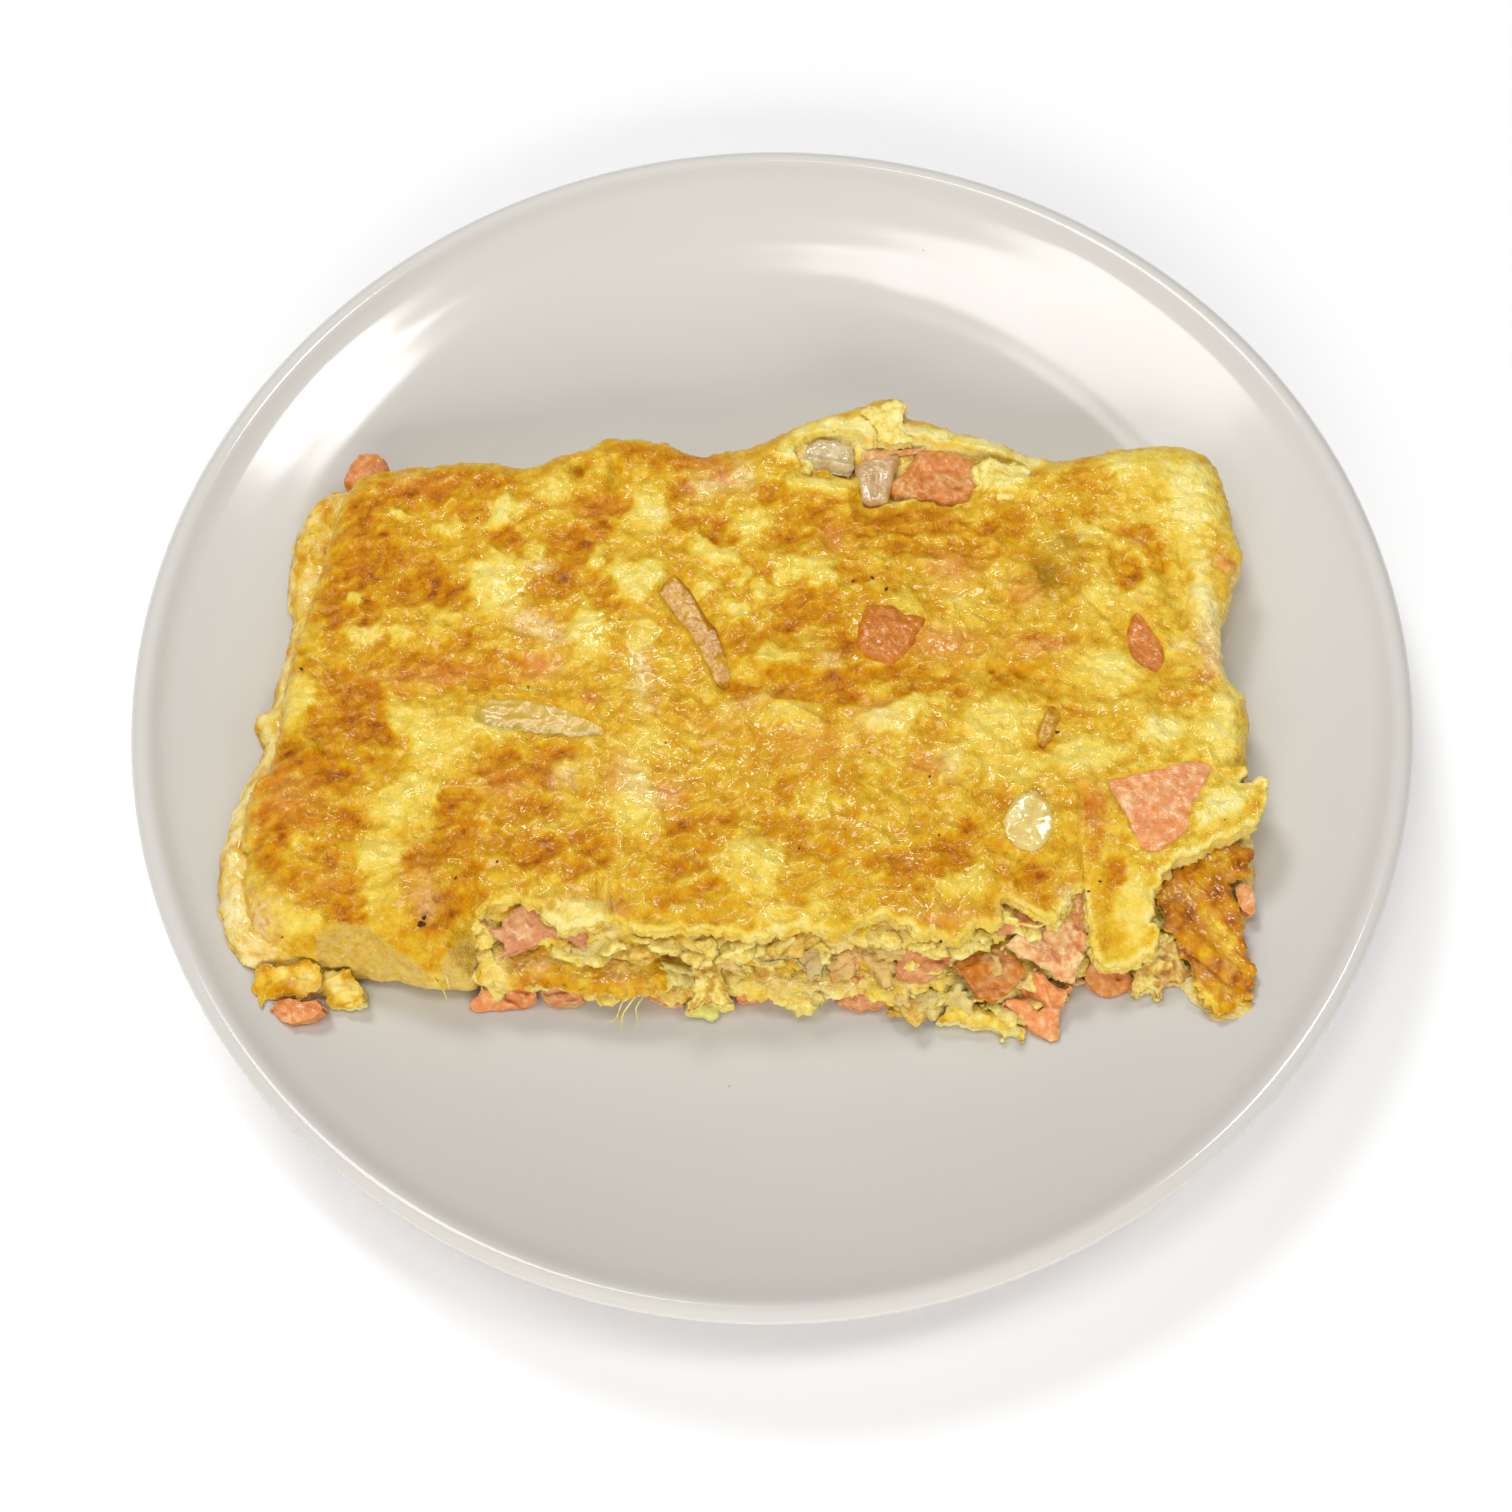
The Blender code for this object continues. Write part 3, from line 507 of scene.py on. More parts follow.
LEAF_STRAP = [
    (59.8, -58.0), (60.4, -65.0), (66.0, -67.2), (72.5, -63.5), (71.7, -58.1),
]
LEAF_FLAP = [
    (72.7, -54.1), (74.8, -50.1), (77.8, -48.0), (81.8, -47.0), (86.0, -45.0), (91.5, -42.6),
    (94.6, -39.3), (95.8, -32.5),
]
LEAF_RIGHT = [
    (91.0, -33.0), (93.6, -29.0), (94.2, -24.0), (95.6, -18.9), (95.4, -13.8), (92.5, -8.5),
    (93.0, 2.4), (94.6, 6.5), (96.6, 12.6), (99.3, 18.0), (98.4, 23.0), (97.6, 33.0),
    (96.4, 39.5), (92.5, 43.5),
]
LEAF_BACK = [
    (85.9, 44.9), (75.8, 44.7), (65.7, 43.1), (58.6, 43.9), (50.5, 48.4), (40.4, 52.0),
    (36.4, 54.0), (31.5, 54.5), (31.0, 59.0), (26.3, 59.5), (20.2, 57.4), (10.1, 54.5),
    (5.1, 52.0), (0.0, 49.6), (-5.1, 48.4), (-14.1, 47.2), (-20.2, 50.3), (-30.3, 52.0),
    (-34.0, 51.6), (-38.4, 48.9), (-44.4, 47.7), (-50.5, 45.2), (-62.6, 47.1), (-70.7, 46.2),
]
LEAF = LEAF_LEFT + LEAF_ROLL + LEAF_TORN + LEAF_STRAP + LEAF_FLAP + LEAF_RIGHT + LEAF_BACK
BASE = [
    (-82.0, 46.5), (-94.0, 44.5), (-98.4, 40.5), (-101.3, 30.3), (-101.6, 22.0), (-100.4, 13.0),
    (-102.0, 1.0), (-102.6, -5.5), (-106.0, -9.5), (-103.6, -14.6), (-104.9, -21.0),
    (-106.8, -26.5), (-108.6, -38.0), (-108.2, -46.0), (-106.8, -53.0), (-103.4, -59.5),
    (-98.0, -62.5), (-85.0, -62.5), (-72.0, -62.0), (-60.0, -63.5), (-45.0, -64.5),
    (-25.0, -65.0), (0.0, -65.5), (22.0, -66.5), (40.0, -66.0), (58.0, -65.0), (70.0, -66.5),
    (78.5, -70.5), (83.2, -76.6), (88.6, -74.8), (88.4, -67.0), (87.0, -62.0), (91.5, -56.0),
    (94.0, -46.0), (94.6, -30.0), (94.0, -5.0), (96.5, 12.0), (98.5, 25.0), (96.8, 39.5),
    (92.0, 44.5), (70.0, 43.0), (50.0, 47.0), (30.0, 52.5), (10.0, 53.0), (-10.0, 48.0),
    (-30.0, 49.0), (-50.0, 45.5),
]
TEAR = [
    (8.0, 47.5), (7.0, 43.5), (9.5, 41.2), (13.5, 40.4), (18.5, 38.8), (20.2, 38.2), (20.6, 33.4),
    (22.6, 31.8), (26.0, 32.4), (30.0, 33.2), (36.0, 32.2), (40.4, 31.2), (44.0, 33.4),
    (46.0, 36.6), (47.4, 40.4), (50.0, 41.0), (55.0, 39.6), (56.0, 41.4), (50.0, 43.6),
    (44.5, 45.6), (38.0, 47.2), (32.0, 48.0), (24.5, 47.4), (21.0, 49.6), (15.0, 50.8),
    (11.0, 50.0),
]
IN_SKIN = {  # pieces that lie in the top of the sheet
    "lox_top_cube": [
        (18.5, -1.0), (20.0, -3.8), (24.0, -5.6), (27.0, -4.2), (29.5, 0.0), (32.0, 4.0),
        (28.0, 4.6), (26.0, 6.6), (21.0, 7.0), (19.2, 3.0)],
    "lox_top_diamond": [
        (72.6, -2.0), (73.6, -6.2), (77.6, -8.8), (79.6, -6.2), (79.6, -3.0), (75.6, 4.6),
        (73.4, 2.0)],
    "lox_top_big": [
        (65.5, -34.0), (67.5, -38.5), (71.5, -46.8), (78.6, -43.4), (80.8, -38.2), (85.6, -31.0),
        (83.4, -28.4), (75.4, -30.0), (66.5, -31.8)],
    "onion_glossy": [
        (44.5, -40.0), (46.0, -44.5), (50.0, -46.0), (53.5, -42.5), (53.6, -37.5), (50.5, -34.4),
        (47.0, -35.5)],
    "onion_strip": [
        (-58.5, -12.6), (-57.5, -15.8), (-46.0, -18.4), (-34.6, -19.2), (-33.4, -16.8),
        (-44.0, -11.4), (-55.0, -9.6)],
    "onion_fried": [
        (-22.0, 12.4), (-15.5, 2.5), (-10.6, -8.6), (-8.0, -9.2), (-7.4, -6.0), (-10.4, 4.6),
        (-13.6, 10.2), (-18.6, 16.8)],
    "onion_sliver": [
        (52.6, -21.6), (53.6, -24.2), (55.4, -22.4), (57.4, -17.6), (56.2, -15.6), (54.6, -17.8)],
}
# Where the browned skin ends in a tongue, and a smooth pale roll shows under it.
ROLL_SKIN = [
    (-84.0, -56.5), (-78.0, -57.0), (-73.0, -60.5), (-68.0, -64.0), (-63.6, -68.6),
    (-64.2, -65.0), (-62.0, -61.6), (-57.5, -58.5), (-55.0, -72.0), (-80.0, -72.0),
    (-88.0, -62.0),
]

# %% Listed features of the top
SWELLINGS = [  # pieces inside push the skin up: centre, half widths, turn, height
    (66, -36, 16, 12, 0, 1.4), (24, 1, 14, 10, 0, 1.2), (33, -28, 7, 7, 0, 1.1),
    (49, -40, 9, 9, 0, 1.2), (4, -4, 16, 4, -20, 1.0), (-92, -34, 9, 12, 0, 1.3),
    (-52, -27, 9, 7, 0, 0.9), (-67, -50, 7, 9, 0, 1.0), (78, 36, 14, 7, 0, 1.4),
    (28, 55, 7, 6, 0, 1.2), (-30, 47, 10, 6, 0, 1.0), (84, 10, 2.5, 10, 0, -1.1),
    (-44, -5, 22, 4, 4, -1.0), (50, -9, 14, 3, -14, -1.0), (-55, 17, 8, 9, 0, 0.6),
    (-25, 15, 8, 5, 40, 0.7), (-37, 5, 5, 6, 0, 0.5), (-10, 21, 6, 3, -25, 0.5),
    (10, 16, 5, 5, 0, 0.5), (5, -16, 7, 5, -10, 0.6), (24, -16, 8, 4, 10, 0.6),
    (45, -19, 9, 6, 0, 0.6), (12, -35, 7, 5, 0, 0.5), (-7, -45, 7, 6, 0, 0.6),
    (-27, -29, 6, 7, 0, 0.7), (-71, -30, 9, 8, 0, 0.6), (38, 16, 8, 6, 0, 0.5),
    (55, -2, 8, 4, 0, 0.5), (51, 36, 6, 3, 0, 0.9), (72, -17, 7, 5, 0, 0.5),
    (-18, 46, 5, 3, 0, 0.5), (-83, 25, 6, 10, 0, 0.3),
]
CREASES = [  # lines where the skin is folded, half width, height
    ([(65, 9), (69, 4), (72, 0)], 0.7, -0.7), ([(63, -4), (66, -1.5), (70, 0)], 0.6, -0.6),
    ([(86, 20), (86, 10), (84, 1)], 0.8, -1.2), ([(45, -7), (55, -9.5), (57, -13)], 0.7, -0.8),
    ([(60, -34), (59.3, -47), (59.8, -56)], 0.8, -0.9),
    ([(42, -45), (49, -48.4), (55, -48.2), (58.5, -44)], 0.8, -0.8),
    ([(-9, -3), (0, -4), (10, -7)], 1.0, 0.6), ([(0, -12), (5, -14.5), (9, -17)], 0.9, 0.6),
    ([(-97, 2), (-91, -1), (-86, -3)], 0.6, -0.6), ([(-96, 8), (-93, 4)], 0.6, -0.5),
    ([(-91, 0), (-86, -5), (-81, -7)], 0.6, -0.5),
    ([(-101, -28), (-96, -25), (-90, -21)], 1.3, 1.1),
    ([(-101, -31), (-95, -28), (-88, -24.5)], 0.9, -0.5),
    ([(-80, -8), (-62, -8.4), (-45, -8)], 0.9, -0.5),
    ([(-45, -8), (-25, -9), (-8, -9)], 0.9, -0.4),
    ([(-8, -9), (10, -8), (30, -8.5), (45, -7)], 1.0, -0.5),
    ([(-70, 9), (-62, 5), (-55, 8)], 0.7, -0.4), ([(-55, 6), (-50, 4.5), (-46, 3.4)], 0.5, -0.6),
    ([(-33.2, -48.5), (-33.4, -52.5)], 0.5, -1.3), ([(-31, -50), (-30.4, -56)], 0.4, -0.9),
    ([(-41, -51), (-40, -53.5)], 0.4, -0.8), ([(56.6, -10), (56, -14), (56.6, -17)], 0.6, -0.4),
    ([(-80, 10), (-78.6, 18), (-77.5, 26)], 0.9, -0.5), ([(-95.5, 14), (-96.4, 4)], 0.7, -0.6),
    ([(73, 18), (70, 14.5), (71, 9)], 0.6, -0.4), ([(77, 22), (82, 17), (83, 11)], 0.8, -0.6),
    ([(44.6, 41.6), (49.5, 41.4), (54.2, 40)], 0.7, -1.6),
    ([(79, -26), (75, -23), (74, -21)], 0.5, -0.4), ([(68.5, -22), (70, -25)], 0.5, -0.4),
    ([(10, 40), (14, 38.6), (19, 38.8)], 0.6, -0.7),
    ([(83, -1), (80, -5), (80.5, -9.5), (88, -12)], 0.7, -0.6),
]
# Toasted spots are above 0, and pale ones, where steam lifted the skin, are below it.
TOAST = [
    (-84, 27, 5, 10, 0, .75), (-83, 16, 6, 6, 0, .6), (-72, 17, 7, 5, 20, .8),
    (-65, 14, 5, 4, 0, .65), (-84, 9, 5, 3, 10, .6), (-78, 23, 3, 5, 0, .6),
    (-75, 37, 9, 3, -12, .75), (-64, 40, 9, 3, 0, .5), (-90, 12, 2.5, 9, 10, .5),
    (-84, -7, 7, 3, -25, .7), (-85, -14, 8, 5, 0, 1.0), (-77, -18, 6, 2.5, -20, .6),
    (-68, -3, 11, 3, -5, .35), (-53, 25, 6, 3, -30, .75), (-60, 36, 5, 6, 0, .35),
    (-40, 24, 5, 4, 0, 1.0), (-35, 27, 3, 3, 0, .7), (-41, 17, 2.5, 5, -15, .8),
    (-34, 13, 3, 4, 0, .6), (-47, 14, 4, 3, 0, .5), (-33, 33, 6, 2.5, 15, .7),
    (-36, 34, 3, 2, 0, .5), (-22, 45, 9, 2.5, -10, .5), (-11, 45, 4, 2.5, 0, .4),
    (-13, 28, 5, 2.5, -15, .6), (-9, 24.5, 3, 4, -20, .5), (-63, 2, 5, 2, 20, .35),
    (-54, -1, 6, 1.5, -10, .35), (-17, 34, 3, 6, 0, .35), (-58, -6.8, 7, 1.2, 4, .45),
    (-31, 9, 4, 2, 30, .35), (2, 35, 3, 3.5, 0, .6), (8, 25, 7, 5, 0, .45), (14, 31, 6, 3, 0, .4),
    (24, 27, 8, 3, 10, .55), (33, 27, 8, 3, -5, .55), (45, 25.5, 4, 1.8, 0, .7),
    (30, 21, 10, 1.8, -5, .45), (41, 20, 8, 2, 0, .35), (52, 26, 4, 4, 0, .35),
    (9, 9, 6, 3, 15, .8), (4, 4, 5, 2, 10, .7), (15, 6, 4, 3, 20, .5),
    (19.5, 13.8, 3.2, .9, 20, 1.0), (14, 0, 3, 3, 0, .4), (17.5, -2, 2, 4, 60, .5),
    (4, -7, 6, 1.5, -5, .6), (20, -8, 12, 2, 3, .7), (10, -11.5, 9, 2, -8, .65),
    (34, -11, 8, 2, -5, .5), (-4, -10, 5, 2, 0, .5), (26, -12.5, 7, 1.2, 15, .3),
    (50, -8.3, 6, 1, -14, .4), (57, -1, 6, 2, 0, .3), (65, 27, 5, 3, 20, .3),
    (68, 35, 6, 3, 0, .3), (74, 14, 3.5, 4.5, 0, .6), (81, 17, 2, 7, 10, .6),
    (77.5, 23, 4, 1.5, 0, .5), (57.5, 14, 2.8, 4.4, 10, .5), (-95, -21, 3, 1.8, -10, 1.1),
    (-90, -23.5, 9, 2, 22, .7), (-85, -26.5, 5, 3, 0, .55), (-92, -33, 6, 6, 0, .35),
    (-83, -36, 6, 3, 20, .5), (-97, -40, 3, 7, 0, .6), (-86, -43.5, 2.5, 3, 0, .8),
    (-92, -47, 7, 2, 10, .35), (-84, -52, 5, 3.5, 0, .6), (-80, -55, 3, 4, 30, .5),
    (-53, -25.5, 5, 3, 0, 1.0), (-43, -22.5, 4, 2, 10, .65), (-45, -27, 3, 3, 0, .45),
    (-61, -33, 4.5, 2.5, 0, .8), (-50, -34, 6, 2.5, 0, .55), (-43, -34.5, 3, 2, 30, .5),
    (-62, -40, 6, 4, 20, .6), (-47, -42, 7, 3, -10, .9), (-35, -42, 5, 3, -40, .85),
    (-40, -46.5, 4, 2, 0, .6), (-66, -43.5, 4, 2.5, 10, .6), (-60, -47, 3, 3, 0, .3),
    (-61, -52.5, 6, 2.5, 15, .65), (-66, -55.5, 4, 2.5, 0, .75), (-16, -38.5, 5, 3, 30, .7),
    (-17, -46, 5, 3, 0, .5), (-15, -52, 6, 2, 10, .4), (-7, -37.5, 4, 1.6, 0, .6),
    (2, -40, 5, 2.2, 0, .6), (-28, -55, 4, 1.2, -20, .4), (3, -33, 2, 4, 20, .25),
    (24, -47, 5, 3, 0, .75), (33, -46, 5, 4, 0, .85), (37, -42, 3, 2, 0, .5),
    (47, -50.5, 6, 1.8, -5, .6), (26, -51.5, 4, 1.8, 0, .5), (52, -53, 4, 3, 30, .3),
    (60, -17.5, 5, 1.6, -5, .4), (54, -24, 3, 2, 0, .25), (65, -50.5, 2.5, 2.5, 0, .7),
    (62, -40, 2, 7, 0, .4), (45, -38, 2, 5, 0, .3), (83, -15, 8, 4, 0, .25),
    (88, -11, 5, 2, -30, .4), (-70, -2, 3, 3, 0, .3), (-55, 32, 3.4, 4.4, 0, -.8),
    (-56, 16, 6, 7, 0, -.75), (-66, 29, 3.5, 2.4, 0, -.6), (-84.6, 13, 1.4, 1.9, 0, -.9),
    (-80.3, 13.6, 1.2, 1.2, 0, -.6), (-76.2, 17.5, 1.7, 2, 0, -.8), (-81, 30, 2, 1.4, 0, -.4),
    (-77, 32.6, 2.2, 1.6, -20, -.6), (-82, 38.4, 2.4, 1.2, 0, -.5), (-86, 24.7, 1.5, 1, 0, -.4),
    (-82, 4.5, 3.6, 2.6, 0, -.6), (-75, 4.8, 3, 2, 0, -.5), (-66.5, 8.8, 4.5, 2, -20, -.6),
    (-96, 25, 3, 13, 5, .1), (-94.5, -10, 3.6, 6, 0, -.6), (-72, -14, 5, 4, 0, -.4),
    (-65, -20, 7, 6, 0, -.4), (-72, -32, 7, 6, 10, -.5), (-76, -42, 5, 4, 0, -.45),
    (-92, -39, 2.5, 2.2, 0, -.4), (-90, -55, 6, 3, 0, -.4), (-75, -50, 4, 4, 0, -.4),
    (-55, -15, 9, 4, -5, -.4), (-48, 22.6, 2.4, 2, 0, -.5), (-44, 38, 4, 4, 0, -.4),
    (-36, 4, 4.5, 6, 0, -.55), (-26, 15, 6, 4, 42, -.75), (-25, 32, 5, 6, 0, -.5),
    (-10.5, 21.4, 5.4, 2.6, -28, -.85), (-4.3, 15.2, 2.2, 2, 0, -.85),
    (-12, 13.3, 2.6, 1.7, 10, -.8), (-5.3, 7.6, 2.4, 2.2, 0, -.55), (-3, 28, 4.4, 4, 0, -.6),
    (-1, 12, 1.5, 2, 0, -.4), (-35, 20.5, 1.6, 2.6, 20, -.5), (-30, 19, 1.8, 3, 0, -.4),
    (-26, 3, 4, 3, 20, -.6), (5, 17, 3, 3.4, 0, -.55), (11, 16, 3, 3.4, 0, -.55),
    (2, -3.5, 5, 2.2, -8, -.5), (5, -16, 5, 3.4, -15, -.35), (24, -17.5, 6, 3, 8, -.7),
    (30, -14, 5, 1.8, 15, -.4), (45, -18, 8, 5, 0, -.5), (41, -27, 4, 4, 0, -.3),
    (36, -27, 2, 3.4, 0, -.35), (9, -35, 4, 3.6, 0, -.2), (-26, -33, 5, 8, 20, -.35),
    (-25, -22, 6, 4, 0, -.3), (-4, -47, 6, 6, 0, -.5), (-42, -38, 1.6, 3, 0, -.2),
    (-38, -56, 6, 3, 0, -.6), (2, -57, 8, 2.6, 0, -.4), (35, -52, 6, 3, 0, -.35),
    (67, 9, 4, 4, 0, -.3), (68, -8, 6, 5, 0, -.4), (80, 38, 8, 4, 0, -.25),
    (89, 30, 5, 10, 0, -.45), (89, 10, 2.4, 8, 0, -.5), (67, 24, 3.4, 2, -30, -.5),
    (77, -22, 5, 3, 20, -.45), (88, -22, 4, 7, 0, -.35), (86, -38, 6, 3, 30, -.6),
    (68, -56, 3, 8, 0, -.35), (12, 37, 9, 2, 0, -.6), (29, 34, 5, 1.6, 0, -.6),
    (51, 36, 5, 3, 0, -.9), (40, 8, 5, 6, 0, -.2), (28, 8, 3, 3, 0, -.25), (-77, 0, 6, 4, 0, .3),
    (-77, 27, 6, 5, 0, .2), (-70, 11, 5, 2.6, -20, .45), (-77, -27, 5, 5, 0, .2),
    (-7, 1, 6, 5, 0, .3), (8, -42, 6, 5, 0, .25), (77, -41, 6, 4, 0, .25), (62, 14, 5, 4, 0, .25),
    (60, -26, 7, 4, 0, -.5), (48, -28, 6, 5, 0, -.3), (-35, -43, 5, 4, 0, -.2),
    (91, -13, 4, 6, 0, -.4),
]
ROSY = [  # salmon that shows through the skin
    (-95, -31, 6, 6, 0, .55), (-68, -4.5, 13, 2.6, 4, .6), (-46, -3, 4.5, 3, 0, .8),
    (-53, -29, 5, 3, 0, .6), (-20, -32, 3.4, 3.4, 0, .8), (-30, -28, 3.4, 4, 0, .5),
    (-67, -49, 3.4, 5, 10, .5), (-85, -48, 3.5, 2, 0, .4), (35, -1, 8, 3.6, -5, .7),
    (38, 15.5, 5, 4, -20, .7), (53, 10, 3.4, 3.4, 0, .6), (15, 23.4, 2, 3.2, 0, .75),
    (55, -2, 6, 2.4, 0, .7), (9, -22, 8, 4.6, 0, .35), (-10, -17, 6, 3, 0, .25),
    (32, -58.5, 6, 1.8, 0, .7), (62, -38, 2.4, 6, 0, .6), (-72, 40, 8, 2.4, 0, .5),
    (-11, 43.5, 5, 2.5, 0, .5), (-8.5, 39.4, 1.7, 2.2, 30, 1.), (88.5, -6.5, 2, 4, 0, .7),
    (95, 15, 2, 2, 0, .8), (77, 21, 2.6, 1.2, 0, .6), (92.5, 16, 3, 2.4, 0, .4),
    (30.5, -27, 3, 3, 0, .55), (-35.6, -11, 1.9, 1.4, 0, .9), (-22, -12, 1, 1.8, 0, .6),
    (75.4, 7, 1.2, 1.1, 0, .7), (-31, -60, 3, 1, 0, .3), (-34, 33, 4, 2, 15, .4),
    (45, -56, 3, 3, -60, .5),
]
MILKY = [  # cream-white curd and steam blisters
    (-46.5, 5.6, 6, 2.2, -28, .9), (-46.6, 19.4, 2.2, 1.3, 0, .8), (-25.5, -6, 1.8, 7, 4, .7),
    (-26.5, -29, 2.4, 5, 30, .5), (22.5, -17.4, 4.4, 2.2, 0, .6), (90, -1, 3, 7, 0, 1.),
    (-12, 37.6, 3.2, 2.4, 0, .7), (-4.3, 39.4, 2.2, 3.2, 0, .8), (-40, -27.4, 3, 2.4, 0, .55),
    (35, -27.6, 2, 3, 0, .5), (12.5, -4.6, 2, 1.6, 0, .5), (-22.4, 31, 2, 1.6, 0, .4),
    (83, -3, 2, 1.4, 0, .5), (56.5, -57, 2.4, 3.4, 0, .8), (-4, -13, 5, 1.2, 20, .3),
    (39, 9, 1.2, .8, 0, .5), (-98, -55, 3.4, 5, 0, .6), (-36, -54.5, 6, 2.4, 0, .4),
    (-66, -53, 2, 2.6, 0, .4), (-82, 4.6, 2, 1.6, 0, .3), (30, 50, 3, 4, 0, .4),
]
OLIVE = [  # egg over something dark
    (57.6, 14, 2.8, 4.6, 8, .9), (62.6, 21, 4, 2.8, 0, .5), (63, 14, 4, 4, 0, .3),
    (30, 11, 3, 2, 0, .25),
]
WET = [  # where melted butter and juice glisten
    (-17, -25, 6, 3, -30, .9), (-25, -33, 5, 6, 30, 1.), (-28, -39, 3, 2, 0, .8),
    (-4, -45, 6, 5, 0, .6), (13, -36, 4, 3, 0, .7), (45, -31, 4, 3, 0, .7),
    (48.5, -37, 4, 4, 0, .7), (-46, -8.6, 5, 1, 3, 1.), (-26, -6, 5, 5, 0, .6),
    (-36, 4, 5, 5, 0, .5), (-50, 14, 8, 6, 0, .4), (5, -16, 4, 3, 0, .4), (25, -44, 8, 4, 0, .4),
    (-45, -37, 8, 6, 0, .4), (45, 6, 3, 3, 0, .5), (-13, -5, 5, 4, 0, .5),
    (-45, -15, 9, 4, -6, .5), (30, -56, 8, 3, 0, .4),
]
print(len(TOAST), "toasted and pale spots,", len(ROSY), "rosy,", len(MILKY), "milky")

# %% Heights of the folded sheet
TOP_Z, TOP_FOLLOW = 25.0, 0.22  # the top's height, and how much it follows the plate's rise
LEAF_THICK, BASE_THICK = 4.0, 3.2
FOLD_R, TORN_R = 7.0, 1.0  # how far in from the rim the sides round off
FRONT_Y, TORN_FROM, TORN_TO = -46.0, -57.0, 73.0  # where the open front lies, and its two ends
TEAR_DEPTH, TEAR_WALL = 3.0, 1.3  # the tear at the back right, and the width of its wall
POCKET = 0.9  # how deep the skin dips around a piece that lies in it
SKIN_HOLES = ((-38.9, 42.6, 1.5, 2.1, 0, -3.0), (-31.4, 41.6, 1.0, 3.0, -8, -3.0))
HIGHEST = cad_high.z / MM - 0.03


def base_top(x, y):
    """The top of the half of the sheet that lies on the plate."""
    return plate_top(x, y) + GAP + BASE_THICK


def is_torn(x, y):
    """Where the sheet ends in a torn edge: along the open front and over the brown flap."""
    in_front = (y < FRONT_Y) & (x > TORN_FROM) & (x < TORN_TO)
    return in_front | ((x >= TORN_TO) & (y < -30.0))


def leaf_level(x, y):
    """The top of the folded sheet, without its fine relief and its rounded sides."""
    level = TOP_Z + TOP_FOLLOW * (plate_top(x, y) - WELL_Z)
    strap = np.clip((-50.0 - y) / 17.0, 0, 1) ** 1.4 * hill(x, 0 * y, 67.0, 0.0, 10.0, 1.0)
    wave = np.array([noise.noise(Vector((a / 34.0, b / 34.0, 3.0))) for a, b in zip(x, y)])
    return level + 0.9 * wave - 8.0 * strap


tear_rim = roughened(smooth_outline(TEAR, 0.5), 0.7, 2.6, 5.0, 2)
roll_rim = roughened(smooth_outline(ROLL_SKIN, 0.5), 0.5, 2.0, 9.0, 2)


def pockets(x, y):
    """How far the skin dips to bare the pieces that lie in it: 1 well inside their outlines."""
    dip = np.zeros_like(x)
    for outline in IN_SKIN.values():
        rim = smooth_outline(outline, 0.5)
        near = np.nonzero(hill(x, y, *rim.mean(axis=0), 16.0, 16.0) > 0.25)[0]
        dip[near] = np.maximum(dip[near], smoothstep(depth_in(x[near], y[near], rim), -0.3, 0.8))
    return dip


def toast_at(x, y):
    """How browned the skin is, from about -1 for a pale blister to 1.2 for a scorched spot."""
    warp_x, warp_y = (cloud(x, y, 4.0, seed, 4) for seed in (11.0, 23.0))
    placed = np.tanh(1.8 * blots(x + 2.0 * warp_x, y + 1.6 * warp_y, TOAST))
    along, across = 0.86 * x + 0.5 * y, 0.86 * y - 0.5 * x
    strokes = cloud(0.45 * along, across, 2.4, 4.0, 4)
    paler = 0.3 * smoothstep(x, 48, 85)
    patches = 0.26 * cloud(x, y, 6.5, 2.0, 4)
    return placed * (0.85 + 0.45 * strokes) - paler + patches + 0.34 * strokes


def leaf_top(x, y, depth, dip=None):
    """The skin's height: swellings, creases, fine wrinkles, and sides that round off."""
    toast = toast_at(x, y)
    radius = np.where(is_torn(x, y), TORN_R, FOLD_R)
    fall = np.where(is_torn(x, y), 0.6, 5.0)
    side = np.clip(1 - depth / radius, 0, 1)
    roll = 3.4 * np.clip(1 - depth / 11.0, 0, 1) ** 2 * ((y < -40) & (x <= TORN_FROM))
    level = leaf_level(x, y) + hills(x, y, SWELLINGS) - fall * (1 - np.sqrt(1 - side**2)) - roll
    wave = np.array([noise.noise(Vector((a / 11.0, b / 11.0, 8.0))) for a, b in zip(x, y)])
    fine = 0.5 * wave + 0.42 * cloud(x, y, 4.2, 6.0, 2) + 0.16 * cloud(x, y, 1.7, 7.0, 2)
    wrinkles = (0.40 * (1 - 2.4 * np.abs(cloud(x, 1.7 * y, 5.0, 14.0, 1)))
                + 0.08 * (1 - 2.4 * np.abs(cloud(x, 1.3 * y, 2.6, 16.0, 1))))
    blister = -0.5 * np.clip(toast, -1, 1)
    in_tear = depth_in(x, y, tear_rim)
    tear = TEAR_DEPTH * smoothstep(in_tear, 0.0, TEAR_WALL)
    tear += 1.3 * smoothstep(in_tear, -3.5, 0.0) * smoothstep(y - 0.1 * np.abs(x - 30), 43, 38)
    tongue = 1.5 * smoothstep(depth_in(x, y, roll_rim), 0.0, 0.9)
    dip = pockets(x, y) if dip is None else dip
    level += (fine + wrinkles + blister) * (1 - 0.7 * dip) - POCKET * dip
    level += grooves(x, y, CREASES) + hills(x, y, SKIN_HOLES)
    return np.minimum(level, HIGHEST) - tear - tongue


